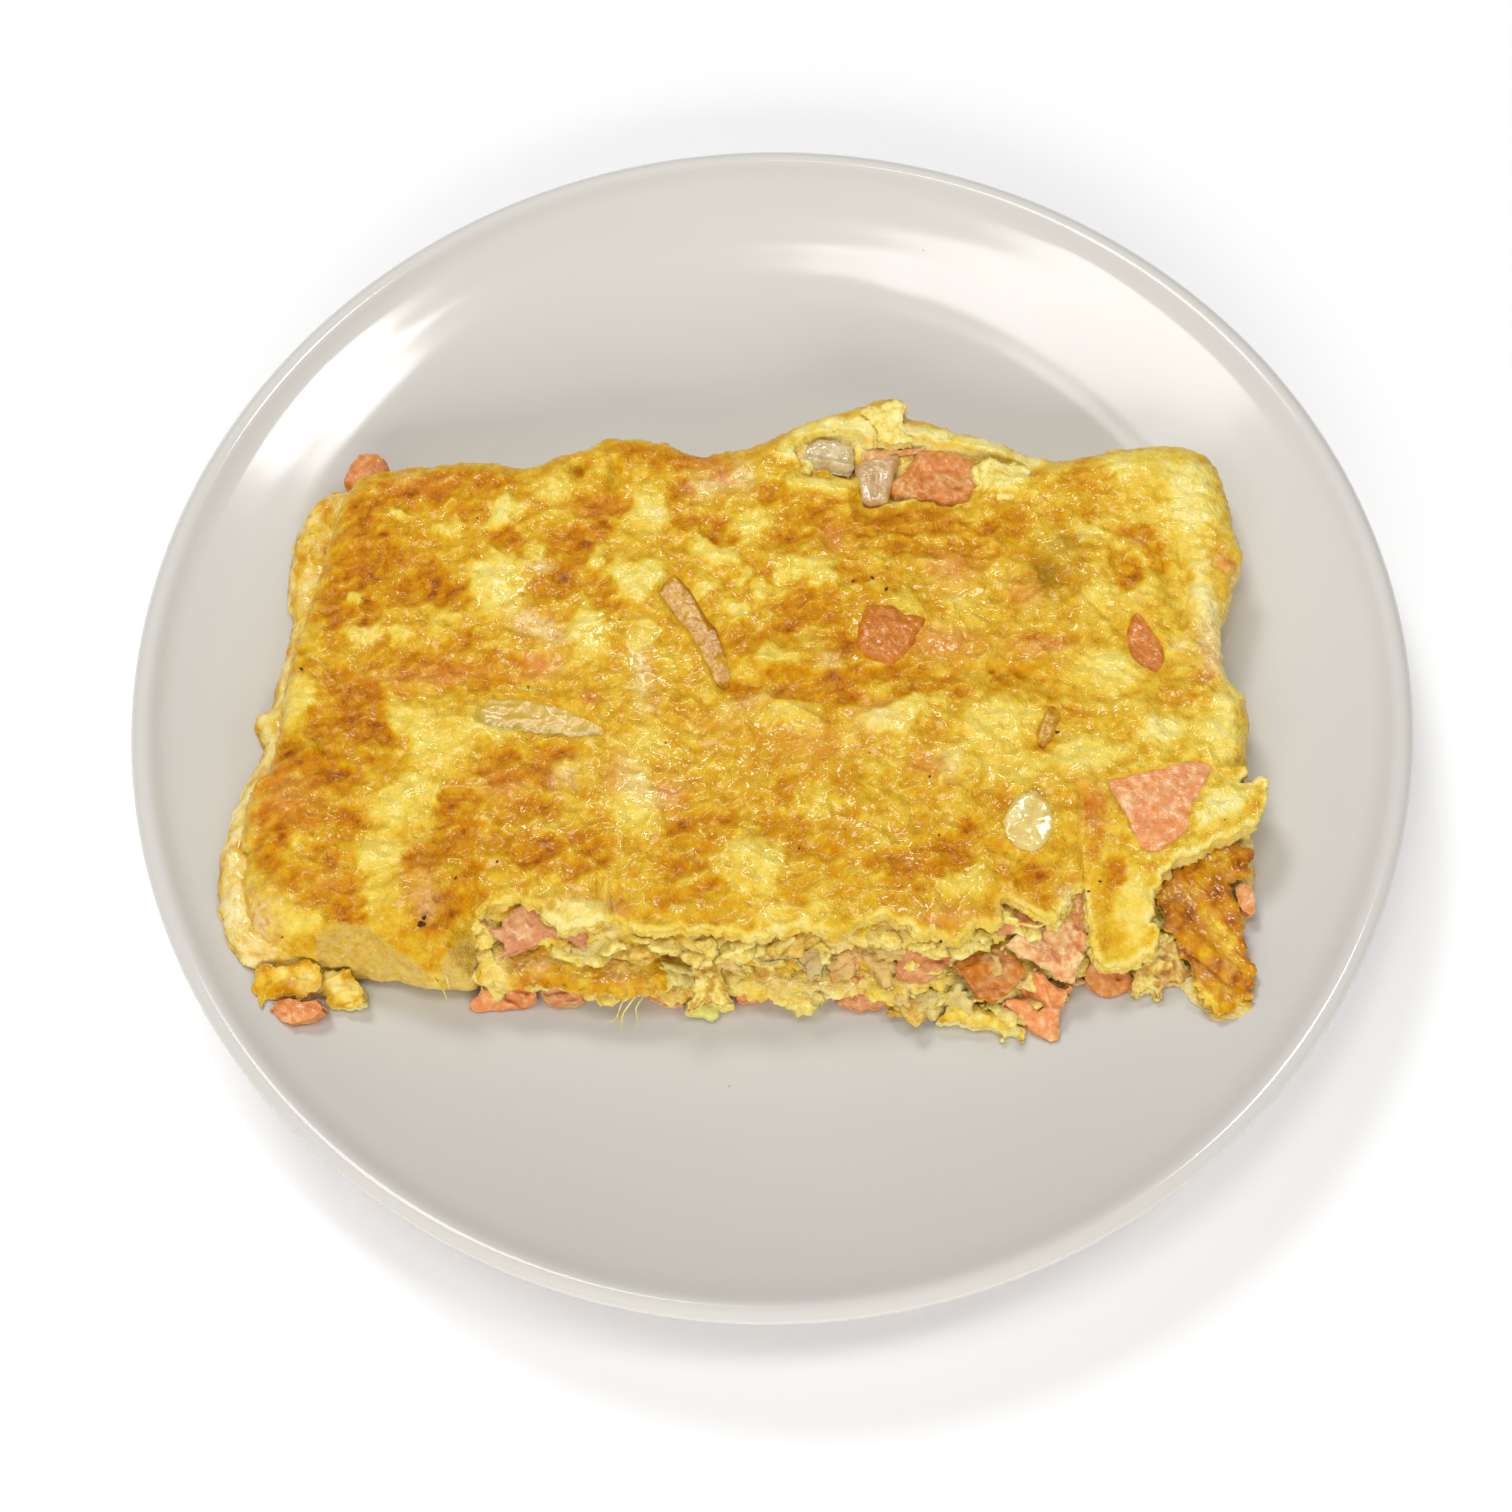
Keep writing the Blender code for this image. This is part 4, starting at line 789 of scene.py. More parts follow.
def leaf_under(x, y, depth):
    """Walls down to the plate at the folds, and a free edge one leaf thick at the front."""
    ceiling = leaf_level(x, y) - LEAF_THICK
    front = smoothstep(y, -44.0, -50.0) * smoothstep(x, -60.0, -52.0) * smoothstep(x, 76.0, 71.0)
    foot = plate_top(x, y) + GAP
    edge = foot + (np.minimum(ceiling, HIGHEST) - 0.5 - foot) * front
    ceiling = ceiling - 7.0 * smoothstep(depth_in(x, y, tear_rim), -3.0, -1.0)
    return edge + (ceiling - edge) * smoothstep(depth, 0.3, 4.0)


def leaf_side(x, y, z, share):
    """Folded sides belly out a little; torn ones are ragged."""
    torn = is_torn(x, y)
    belly = np.sin(math.pi * share) * np.where(torn, 0.2, 1.0)
    rough = 0.3 * cloud(x, y, 2.2, 31.0, 2, z) + 0.5 * cloud(x, y, 7.0, 33.0, 1, z)
    shreds = (1.3 * np.abs(cloud(x, y, 2.4, 35.0, 2, 1.8 * z))
              + 0.4 * cloud(x, y, 1.0, 37.0, 2, z) - 0.2)
    return belly + np.where(torn, shreds * min(1.0, 5 * share), rough)


# %% Build the browned sheet
PITCH = 0.56
TEAR_PITCH, TEAR_MIDDLE, TEAR_BAND = 0.34, 0.6, 1.0  # closer points along the wall of the tear
UNDER_PITCH = 3.0
leaf_rim = smooth_outline(LEAF, 0.7)
leaf_rim = roughened(leaf_rim, np.where(is_torn(*leaf_rim.T), 1.1, 0.35), 2.8, 1.0, 3)
grid = filled(leaf_rim, PITCH)
near_tear = np.abs(depth_in(*grid.T, tear_rim) - TEAR_MIDDLE) < TEAR_BAND
fine_grid = staggered(leaf_rim.min(axis=0), leaf_rim.max(axis=0), TEAR_PITCH)
fine_grid = fine_grid[(np.abs(fine_grid[:, 0] - 32) < 28) & (fine_grid[:, 1] > 30)]
fine_grid = fine_grid[np.abs(depth_in(*fine_grid.T, tear_rim) - TEAR_MIDDLE) < TEAR_BAND]
leaf_points, leaf_faces = closed_body(
    leaf_rim, leaf_top, leaf_under, [(grid[~near_tear], PITCH), (fine_grid, TEAR_PITCH)],
    [(filled(leaf_rim, UNDER_PITCH), UNDER_PITCH)], 18, leaf_side)


def egg_paints(points, faces, wall_toast=-0.45):
    """The painted numbers of an egg surface: browning, salmon, cream, olive and wetness."""
    x, y, z = points.T
    up = normals_of(points, faces)[:, 2]
    flat = smoothstep(up, 0.1, 0.7)
    toast = toast_at(x, y) + 0.12 * cloud(x, y, 1.3, 41.0, 2)
    toast -= 0.7 * is_torn(x, y) * smoothstep(distance_to(x, y, leaf_rim), 1.5, 0.3)
    behind = smoothstep(y - np.interp(x, (8, 22, 46, 56), (42, 42, 40, 39)), 0, 2)
    toast -= 0.9 * behind * smoothstep(np.abs(depth_in(x, y, tear_rim) + 0.8), 3.4, 1.0)
    pale_roll = smoothstep(depth_in(x, y, roll_rim), -0.2, 0.5)
    toast = toast * (1 - pale_roll) - 0.1 * pale_roll
    wall = wall_toast + 0.35 * cloud(x, y, 5.0, 43.0, 3, z)
    lip = is_torn(x, y) * smoothstep(leaf_level(x, y) - z, 1.2, 2.4)
    toast = wall + (toast - wall) * flat * (1 - lip)
    warp_x, warp_y = (1.2 * cloud(x, y, 2.6, seed, 2) for seed in (51.0, 53.0))
    wx, wy = x + warp_x, y + warp_y
    in_tear = smoothstep(depth_in(x, y, tear_rim), 0.2, 1.0)
    return {
        "toast": np.clip(0.43 + 0.36 * toast - 0.16 * in_tear, 0, 1),
        "rosy": np.clip(hills(wx, wy, ROSY) * flat, 0, 1),
        "milky": np.clip(hills(wx, wy, MILKY) * flat + 0.3 * pale_roll + 0.35 * lip, 0, 1),
        # On the pale roll, where the skin rounds down at the front, olive is mixed in as painted
        # shade.
        "olive": np.clip(hills(wx, wy, OLIVE) * flat + 0.25 * pale_roll, 0, 1),
        "wet": np.clip(hills(wx, wy, WET) * flat + 0.45 - 0.3 * np.clip(toast, 0, 1), 0, 1),
    }


# %% [markdown]
# The egg colours run from cream over butter yellow and gold to a deep toasted brown.  Two
# finer noises shift the browning, because toasted egg is mottled down to the size of its
# pores, and the steps between the colours are steep, so that the blots keep crisp borders.
# Salmon under the skin is a pink wash.  Where the skin is moist it is smooth, and its fine
# grain breaks every light into small glints; the brightest of them are painted as well, so
# that they stay in a baked copy.


# %% Egg material
GLINT_SIZE, PEPPER_SIZE = 0.9, 11.0


def glints(paint, wet):
    """Painted highlights: small bright glints, ragged and in clusters, where the surface is wet."""
    glint_spots = paint.cells(GLINT_SIZE) + 0.8 * (paint.cloud(0.4, detail=2.0) - 0.5)
    cluster = paint.cloud(2.8, detail=3.0).between(0.47, 0.60)
    return ((1 - glint_spots.between(0.05, 0.40)) * cluster * wet * 0.7).clipped()


def egg_paint(name, dry=0.50, pores=0.75, mottle=1.0):
    """Egg skin: its roughness where dry, the depth of its pores, and how mottled it is."""
    egg = Paint(name)
    blotch = egg.cloud(2.4, detail=4.0, roughness=0.55) - 0.5
    freckle = egg.cloud(0.6, detail=3.0) - 0.5
    pits = egg.cells(2.3) + 0.5 * egg.cloud(0.9, detail=2.0) - 0.72
    painted = egg.painted("toast")
    uneven = mottle * (0.15 + painted) * (0.8 * blotch + 0.20 * freckle + 0.22 * pits)
    toast = (painted + uneven).clipped()
    colour = egg.ramp(toast, (0.06, (241, 226, 144)), (0.2, (235, 207, 88)), (0.34, (224, 183, 50)),
                      (0.46, (213, 161, 24)), (0.58, (206, 143, 4)), (0.72, (196, 126, 0)),
                      (0.86, (180, 106, 0)), (1.0, (146, 78, 0)))
    warm = egg.ramp(toast, (0.1, (234, 182, 110)), (0.45, (216, 140, 66)), (0.8, (198, 112, 30)))
    rosy = (egg.painted("rosy") * (0.5 + 1.1 * egg.cloud(1.6, detail=3.0))).clipped()
    colour = egg.mix(rosy, colour, warm)
    cream = egg.mix(egg.cloud(0.9), linear(250, 236, 190), linear(236, 208, 140))
    crust = egg.cloud(1.3, detail=4.0, roughness=0.65).between(0.40, 0.60)
    colour = egg.mix((egg.painted("milky") * (0.3 + 0.8 * crust)).clipped(), colour, cream)
    # Olive: egg over something dark, and painted shade on the pale roll.
    colour = egg.mix(egg.painted("olive"), colour, linear(160, 120, 12))
    wet = egg.painted("wet")
    # Painted highlights: bright glints mixed into the colour where the skin is wet.
    colour = egg.mix(glints(egg, wet), colour, linear(250, 236, 160))
    pepper = 1 - egg.cells(PEPPER_SIZE).between(0.014, 0.026)
    colour = egg.mix(pepper * 0.85, colour, linear(74, 40, 14))
    height = egg.cloud(1.6, detail=5.0, roughness=0.55) + 0.3 * egg.cloud(0.5, detail=3.0)
    moist = (1.3 * wet * egg.cloud(1.8, detail=3.0).between(0.38, 0.54)).clipped()
    return egg.finish(
        Base_Color=colour, Roughness=dry - 0.30 * moist, Specular_IOR_Level=0.15,
        Coat_Weight=0.9 * moist, Coat_Roughness=0.10,
        Subsurface_Weight=0.12, Subsurface_Radius=(1.0, 0.6, 0.15), Subsurface_Scale=1.4 * MM,
        Normal=egg.bump(height - 0.35 * toast, pores))


browned_skin = egg_paint("browned_skin")
show("egg_leaf", leaf_points, leaf_faces, browned_skin, "browned_egg", ["egg_sheet"],
     egg_paints(leaf_points, leaf_faces))

# %% [markdown]
# ## The base of the fold
#
# The sheet's other half lies on the plate.  Only its rim shows, most of all along the left,
# where it sticks out as a pale, layered lip.


# %% Build the base
BAND_PITCH, BAND = 1.1, 12.0  # points lie close only in this band along the rim


def base_lid(x, y, depth):
    """The ledge at the left stands higher; the corner under the brown flap is thin."""
    left = np.clip((-84.0 - x) / 10.0, 0, 1)
    rounded = np.clip(1 - depth / 4.0, 0, 1) ** 2
    corner = smoothstep(x, 70, 78) * smoothstep(-y, 58, 66)
    level = base_top(x, y) + left * (2.6 - 3.4 * rounded) - 1.2 * rounded * (1 - left)
    rough = (0.5 * cloud(x, y, 5.0, 61.0, 3) + 0.25 * cloud(x, y, 1.6, 63.0)) * left
    return level - 1.8 * corner + rough


def base_foot(x, y, depth):
    return plate_top(x, y) + GAP * smoothstep(depth, 8, 12) + 0.05


def ledge_side(x, y, z, share):
    """A side in thin layers, as folded egg shows where it was cut or squeezed."""
    layers = 0.32 * np.sin(z * 3.4 + 2.0 * cloud(x, y, 9.0, 65.0)) * np.sin(math.pi * share)
    return 0.7 * np.sin(math.pi * share) + layers + 0.45 * cloud(x, y, 2.4, 67.0, 2, z)


base_rim = roughened(smooth_outline(BASE, 0.8), 0.45, 3.2, 69.0, 3)
band = filled(base_rim, BAND_PITCH)
band = band[distance_to(*band.T, base_rim) < BAND]
wide = filled(base_rim, 6.0)
wide = wide[distance_to(*wide.T, base_rim) > BAND + 2.0]
base_points, base_faces = closed_body(
    base_rim, base_lid, base_foot, [(band, BAND_PITCH), (wide, 2.0)], [(wide, 2.0)], 8, ledge_side)
x, y, z = base_points.T
streaks = cloud(0.3 * x, 0.3 * y, 1.6, 75.0, 3, z)
base_paints = egg_paints(base_points, base_faces, -0.5)
base_paints["toast"] = np.clip(0.26 + 0.3 * streaks + 0.16 * cloud(x, y, 5.0, 71.0, 3)
                               + 0.10 * smoothstep(y, -20, 10), 0, 1)
base_paints["milky"] = np.clip(0.2 - 0.8 * streaks + 0.4 * cloud(x, y, 4.0, 73.0, 2)
                               + 0.35 * smoothstep(y, -15, -30), 0, 1)
show("egg_base", base_points, base_faces, browned_skin, "browned_egg", ["egg_sheet"], base_paints)

# %% [markdown]
# ## What the fold holds
#
# Three layers show in the open front: loose curds, the sheet's tucked-in golden end, and curds
# again.  They are soft and break rather than cut, so their front edges are ragged and full of
# small clefts.  Each is one closed body like the sheet, with close points only along the front,
# where it is seen.

# %% Layers inside
INSIDE = [
    (76.0, -47.0), (82.0, -38.0), (85.0, -20.0), (84.5, 0.0), (86.0, 20.0), (82.0, 33.0),
    (60.0, 36.0), (40.0, 40.0), (20.0, 43.0), (0.0, 39.5), (-30.0, 39.5), (-60.0, 37.5),
    (-78.0, 34.0), (-84.0, 12.0), (-87.0, -15.0), (-88.0, -42.0), (-80.0, -52.0), (-57.5, -56.0),
]
UPPER_FRONT = [
    (-54.0, -55.5), (-46.0, -58.5), (-38.0, -60.2), (-30.0, -59.8), (-25.0, -62.0),
    (-19.0, -60.8), (-15.0, -63.0), (-8.0, -62.0), (-3.0, -61.5), (4.0, -60.5), (11.0, -62.5),
    (17.0, -60.3), (24.0, -62.0), (32.0, -62.8), (40.0, -60.5), (50.0, -58.5), (58.0, -55.0),
    (68.0, -50.0),
]
INNER_FRONT = [
    (-56.5, -64.5), (-52.0, -66.4), (-45.0, -66.4), (-37.0, -67.6), (-29.0, -68.4),
    (-22.0, -66.8), (-17.5, -64.8), (-10.0, -63.8), (-3.0, -63.0), (4.0, -64.6), (12.0, -63.0),
    (20.0, -64.6), (30.0, -63.6), (40.0, -65.5), (48.0, -63.5), (57.0, -61.0), (68.0, -56.0),
]
LOWER_FRONT = [
    (-56.5, -62.0), (-48.0, -66.0), (-41.0, -65.2), (-34.0, -69.0), (-27.0, -67.5),
    (-20.0, -69.6), (-12.0, -68.0), (-4.0, -69.2), (4.0, -70.8), (11.0, -69.0), (22.0, -70.2),
    (30.0, -68.6), (40.0, -70.4), (52.0, -68.0), (60.0, -66.5), (68.0, -62.0),
]
LAYERS = {  # front line, share of the inside at its underside and top, gaps, slot
    "filling_lower": (LOWER_FRONT, 0.0, 0.33, 1, "soft_egg"),
    "egg_inner_fold": (INNER_FRONT, 0.33, 0.60, 2, "golden_egg"),
    "filling_upper": (UPPER_FRONT, 0.60, 1.0, 3, "soft_egg"),
}


def inset(points, amount):
    """An open run of anticlockwise points moved towards the inside of the shape."""
    points = np.array(points, float)
    along = np.gradient(points, axis=0)
    inward = np.stack([-along[:, 1], along[:, 0]], axis=1)
    return [tuple(p) for p in points + amount * inward / np.linalg.norm(inward, axis=1)[:, None]]


def share_of_inside(share, gaps):
    """A height between the two halves of the sheet: a share of the food plus some gaps."""

    def level(x, y):
        low = base_top(x, y)
        return low + share * (leaf_level(x, y) - LEAF_THICK - low - 4 * GAP) + gaps * GAP

    return level


LAYER_PITCH, FAR_PITCH = 0.7, 7.0  # between points at the front, and elsewhere


def layer_body(front, low, high, gaps, seed):
    """One layer from its front line, its share of the inside and the gaps below it."""
    fine = smooth_outline(front + inset(INSIDE, 0.9), 0.55)
    seen = fine[:, 1] < FRONT_Y
    near_tear = (fine[:, 1] > 30.0) & (np.abs(fine[:, 0] - 30.0) < 34.0)
    rim = fine[seen | near_tear | (np.arange(len(fine)) % 7 == 0)]
    push = 1.3 * cloud(*rim.T, 4.2, seed, 2) + 0.8 * cloud(*rim.T, 1.5, seed + 2, 2)
    rim = rim + outward(rim) * (push * (rim[:, 1] < FRONT_Y))[:, None]
    top_level, low_level = share_of_inside(high, gaps), share_of_inside(low, gaps)

    def top(x, y, depth):
        soft = np.clip(1 - depth / 2.2, 0, 1) ** 2
        return top_level(x, y) - 0.5 * soft + (depth < 12) * 0.5 * cloud(x, y, 2.0, seed + 3, 2)

    def under(x, y, depth):
        return low_level(x, y) + 0.4 * np.clip(1 - depth / 2.0, 0, 1) ** 2

    def side(x, y, z, share):
        belly = 0.9 * np.sin(math.pi * share)
        clefts = -1.2 * np.clip(0.25 - np.abs(cloud(x, y, 2.8, seed + 5, 2, z * 1.4)), 0, 1) * 3
        return (belly + clefts + 0.7 * cloud(x, y, 1.3, seed + 7, 3, z)) * (y < FRONT_Y)

    strip, wide = filled(rim, LAYER_PITCH), filled(rim, FAR_PITCH)
    strip, wide = strip[strip[:, 1] < FRONT_Y - 4], wide[wide[:, 1] > FRONT_Y + 2]
    return closed_body(rim, top, under, [(strip, LAYER_PITCH), (wide, FAR_PITCH)],
                       [(wide, FAR_PITCH)], 11, side)


layer_egg = egg_paint("layer_egg", pores=0.7)
for i, (node, (front, low, high, gaps, slot)) in enumerate(LAYERS.items()):
    points, faces = layer_body(front, low, high, gaps, 80.0 + 9 * i)
    x, y, z = points.T
    tip = smoothstep(x, -54, -47) * smoothstep(z, 13.2, 14.6)
    golden = (0.20 * (slot == "golden_egg")) * smoothstep(x, 40, -10) * tip
    shade = cloud(x, y, 3.5, 81.0 + i, 3, z)
    show(node + "_layer", points, faces, layer_egg, slot, [node], {
        "toast": np.clip(0.24 + golden + 0.20 * shade, 0, 1),
        "milky": np.clip(0.25 + 0.5 * cloud(x, y, 5.0, 85.0 + i, 2, z) - 1.5 * golden, 0, 1),
        "rosy": np.clip(0.6 * cloud(x, y, 6.0, 89.0 + i, 2, z) - 0.1, 0, 1),
        "olive": np.zeros(len(x)), "wet": np.clip(0.5 + 0.4 * shade, 0, 1)})

# %% [markdown]
# ## Chunks in the pile
#
# Salmon, onion and single curds are chunks of 5 to 20 mm that lie on, under and against each
# other.  Their solids stand apart with straight sides.  Here each is drawn again with a finer
# outline, so that the pile closes up: a flat or tilted top, torn or cut sides, and folds where
# the real chunk has them.  The outlines were read off a plan 26 mm above the floor, seen from
# where the photograph was taken.  Anything lower lies further out along the line of sight, so
# every place is moved by the share that its own height asks for.

# %% From the plan to the real place
SIGHT_Y, SIGHT_Z, PLAN_Z = -143.5, 321.2, 26.0
CHUNK_PITCH = 0.33
GROWN = 0.8  # a chunk is drawn this much larger than its plan, so that the pile closes up
PROUD = 1.05  # how far a chunk in the skin stands over the bottom of its pocket
# How far the rim of a chunk rounds down, and over what width, by where it lies.
RIM_FALL = {"free": (0.45, 0.9), "tear": (0.7, 1.2), "skin": (0.9, 1.5)}
CUT, TORN = True, False  # an outline with sharp corners, and a soft one


def from_plan(x, y, z):
    """The place at height z that is seen at (x, y) on the plan."""
    share = (SIGHT_Z - z) / (SIGHT_Z - PLAN_Z)
    return np.column_stack([x * share, SIGHT_Y + (y - SIGHT_Y) * share])


def chunk(bed, relief, seed, plan, high, tilt, thick, ragged, cut, folds):
    """Points, faces and painted shade in the clefts and creases of one chunk; thick is None if it
    stands on the plate.
    """
    rim = (straight_outline if cut else smooth_outline)(plan, CHUNK_PITCH)
    middle = rim.mean(axis=0)

    def plane(x, y):
        return high + tilt[0] * (x - middle[0]) + tilt[1] * (y - middle[1])

    height = plane(*rim.T)
    grown = rim + GROWN * outward(rim)
    rim = grown if bed == "skin" else from_plan(*grown.T, height)
    fitted, *_ = np.linalg.lstsq(np.column_stack([np.ones(len(rim)), rim]), height, rcond=None)
    rim = roughened(rim, ragged, 2.4, seed, 4)
    bends = [([tuple(from_plan(np.array([a]), np.array([b]), plane(a, b))[0]) for a, b in line],
              width, rise) for line, width, rise in folds]

    def level(x, y):
        if bed == "skin":
            return leaf_top(x, y, np.full_like(x, FOLD_R + 5), 1.0) + PROUD + high
        return fitted[0] + fitted[1] * x + fitted[2] * y

    def top(x, y, depth):
        drop, width = RIM_FALL[bed]
        soft = drop * np.clip(1 - depth / width, 0, 1) ** 2
        rise = (0.5 if bed == "skin" else 1) * relief(x, y, 0 * x, seed) + grooves(x, y, bends)
        return np.clip(level(x, y) + rise - soft, plate_top(x, y) + 0.6, HIGHEST)

    def under(x, y, depth):
        floor = plate_top(x, y) + 0.15
        return floor if thick is None else np.maximum(level(x, y) - thick, floor)

    def side(x, y, z, share):
        bulge = 0.8 * relief(x, y, z, seed) if relief is curd_relief else 0.2
        rough = 0.35 * ragged * cloud(x, y, 1.2, seed + 5, 2, z)
        return (bulge + rough) * min(1.0, 4 * share, 4 * (1 - share))

    grid = filled(rim, CHUNK_PITCH)
    tall = (height.mean() - float(plate_top(*rim.mean(axis=0)))) if thick is None else thick
    points, faces = closed_body(rim, top, under, [(grid, CHUNK_PITCH)], [(grid[::7], CHUNK_PITCH)],
                                max(4, round(tall / 0.5)), side)
    x, y, z = points.T
    # Painted shade: the low places of the relief and the creases of the folds are darkened.
    crevice_shade = (smoothstep(-relief(x, y, 0 * x, seed), 0.05, 0.5) * (z > level(x, y) - 1)
               + np.clip(-1.6 * grooves(x, y, bends), 0, 1))
    return points, faces, np.clip(crevice_shade, 0, 1)


def chunks(table, relief, first_seed):
    """Each chunk of a table: its name, seed, points, faces, painted cleft shade and its row's last
    items.
    """
    for i, (name, (*shape, folds, extras)) in enumerate(table.items()):
        bed = ("skin" if name in IN_SKIN else
               "tear" if "back" in name or name.startswith("tear") else "free")
        seed = first_seed + 7 * i
        yield name, seed, *chunk(bed, relief, seed, *shape, folds), extras


def patchy(share, patches):
    """A painted number made uneven, from 0 to 1; where its share is 0 it stays 0."""
    return np.clip(share + patches, 0, 1) * (share > 0)


# %% Reliefs for the kinds of chunk
def flake_phase(x, y, z, seed):
    """Where each point lies between one fish flake and the next, from 0 to 1."""
    across = (0.8 * x + 0.6 * y + 0.5 * z) / 2.6 + 0.6 * cloud(x, y, 5.0, seed, 2, z)
    return across - np.floor(across)


def fish_relief(x, y, z, seed):
    """Nearly flat, with a few soft waves and shallow steps between flakes."""
    big = np.abs(cloud(x, y, 4.5, seed + 1, 1, z))
    small = np.abs(cloud(x, y, 2.0, seed + 4, 1, z))
    fine = 0.05 * cloud(x, y, 1.0, seed + 2, 2, z)
    return 1.1 * big + 0.2 * small + fine - 0.26 * flake_phase(x, y, z, seed) - 0.10


def curd_relief(x, y, z, seed):
    """Round lumps with deep clefts between them, at two sizes."""
    big = np.abs(cloud(x, y, 4.2, seed, 1, z))
    small = np.abs(cloud(x, y, 1.7, seed + 1, 2, z))
    return 1.7 * big + 0.8 * small - 0.75 + 0.15 * cloud(x, y, 0.8, seed + 2, 2, z)


def soft_relief(x, y, z, seed):
    """A few wide soft folds."""
    return 1.3 * np.abs(cloud(x, y, 4.2, seed, 1, z)) + 0.2 * cloud(x, y, 1.5, seed + 1, 2, z)


def onion_relief(x, y, z, seed):
    """Smooth, with a slight swell."""
    return 0.22 * cloud(x, y, 5.0, seed, 1, z) + 0.05 * cloud(x, y, 1.5, seed + 1, 2, z)


def crisp_relief(x, y, z, seed):
    """Ridges and blisters of a skin fried crisp."""
    ridge = 1 - 2.2 * np.abs(cloud(0.9 * x + 0.4 * y, 0.45 * y, 4.0, seed, 3))
    return 0.26 * ridge + 0.10 * cloud(x, y, 1.6, seed + 1, 3, z)


# %% [markdown]
# ### Salmon
#
# Smoked salmon is smooth and slightly moist, peach to orange, with faint pale lines between its
# flakes.  Pieces that lay on the pan are browner, some deep in the pile stayed mauve, and a few
# wear a film of egg.  So one material mixes four looks by painted numbers, and the flakes are
# only hinted at: strong stripes would make it look like raw fish.

# %% Salmon material
fish = Paint("smoked_salmon")
grain = fish.cloud(1.6, detail=4.0, roughness=0.6)
flesh = fish.ramp(grain, (0.30, (216, 130, 64)), (0.5, (230, 152, 90)), (0.70, (246, 192, 140)))
mauve = fish.ramp(grain, (0.30, (186, 120, 78)), (0.5, (202, 138, 94)), (0.7, (222, 166, 120)))
seared = fish.ramp(grain, (0.30, (180, 98, 8)), (0.5, (196, 114, 18)), (0.7, (210, 134, 40)))
film = fish.ramp(grain, (0.32, (220, 168, 104)), (0.5, (234, 192, 132)), (0.68, (246, 220, 164)))
flesh = fish.mix(fish.painted("mauve"), flesh, mauve)
flesh = fish.mix((fish.painted("browned") * (0.7 + 0.7 * fish.cloud(3.0, detail=3.0))).clipped(),
                 flesh, seared)
filmed = fish.painted("film") * fish.cloud(2.2, detail=4.0, roughness=0.6).between(0.38, 0.52)
flesh = fish.mix(filmed.clipped(), flesh, film)
flake = fish.painted("flake") * fish.cloud(1.0, detail=2.0).between(0.4, 0.6)
flesh = fish.mix(flake * 0.30, flesh, linear(244, 204, 160))
# Painted shade: clefts and creases darken to a deep orange.
flesh = fish.mix(fish.painted("hollow") * 0.4, flesh, linear(204, 100, 40))
smoked_salmon = fish.finish(
    Base_Color=flesh, Roughness=0.18 + 0.3 * fish.cloud(1.4, detail=2.0), Specular_IOR_Level=0.3,
    Coat_Weight=0.5 * fish.cloud(1.6, detail=2.0).between(0.4, 0.6), Coat_Roughness=0.12,
    Subsurface_Weight=0.12, Subsurface_Radius=(1.0, 0.45, 0.2), Subsurface_Scale=1.6 * MM,
    Normal=fish.bump(fish.cloud(0.8, detail=3.0, stretch=(1.0, 2.2, 2.0), roughness=0.5), 0.22))

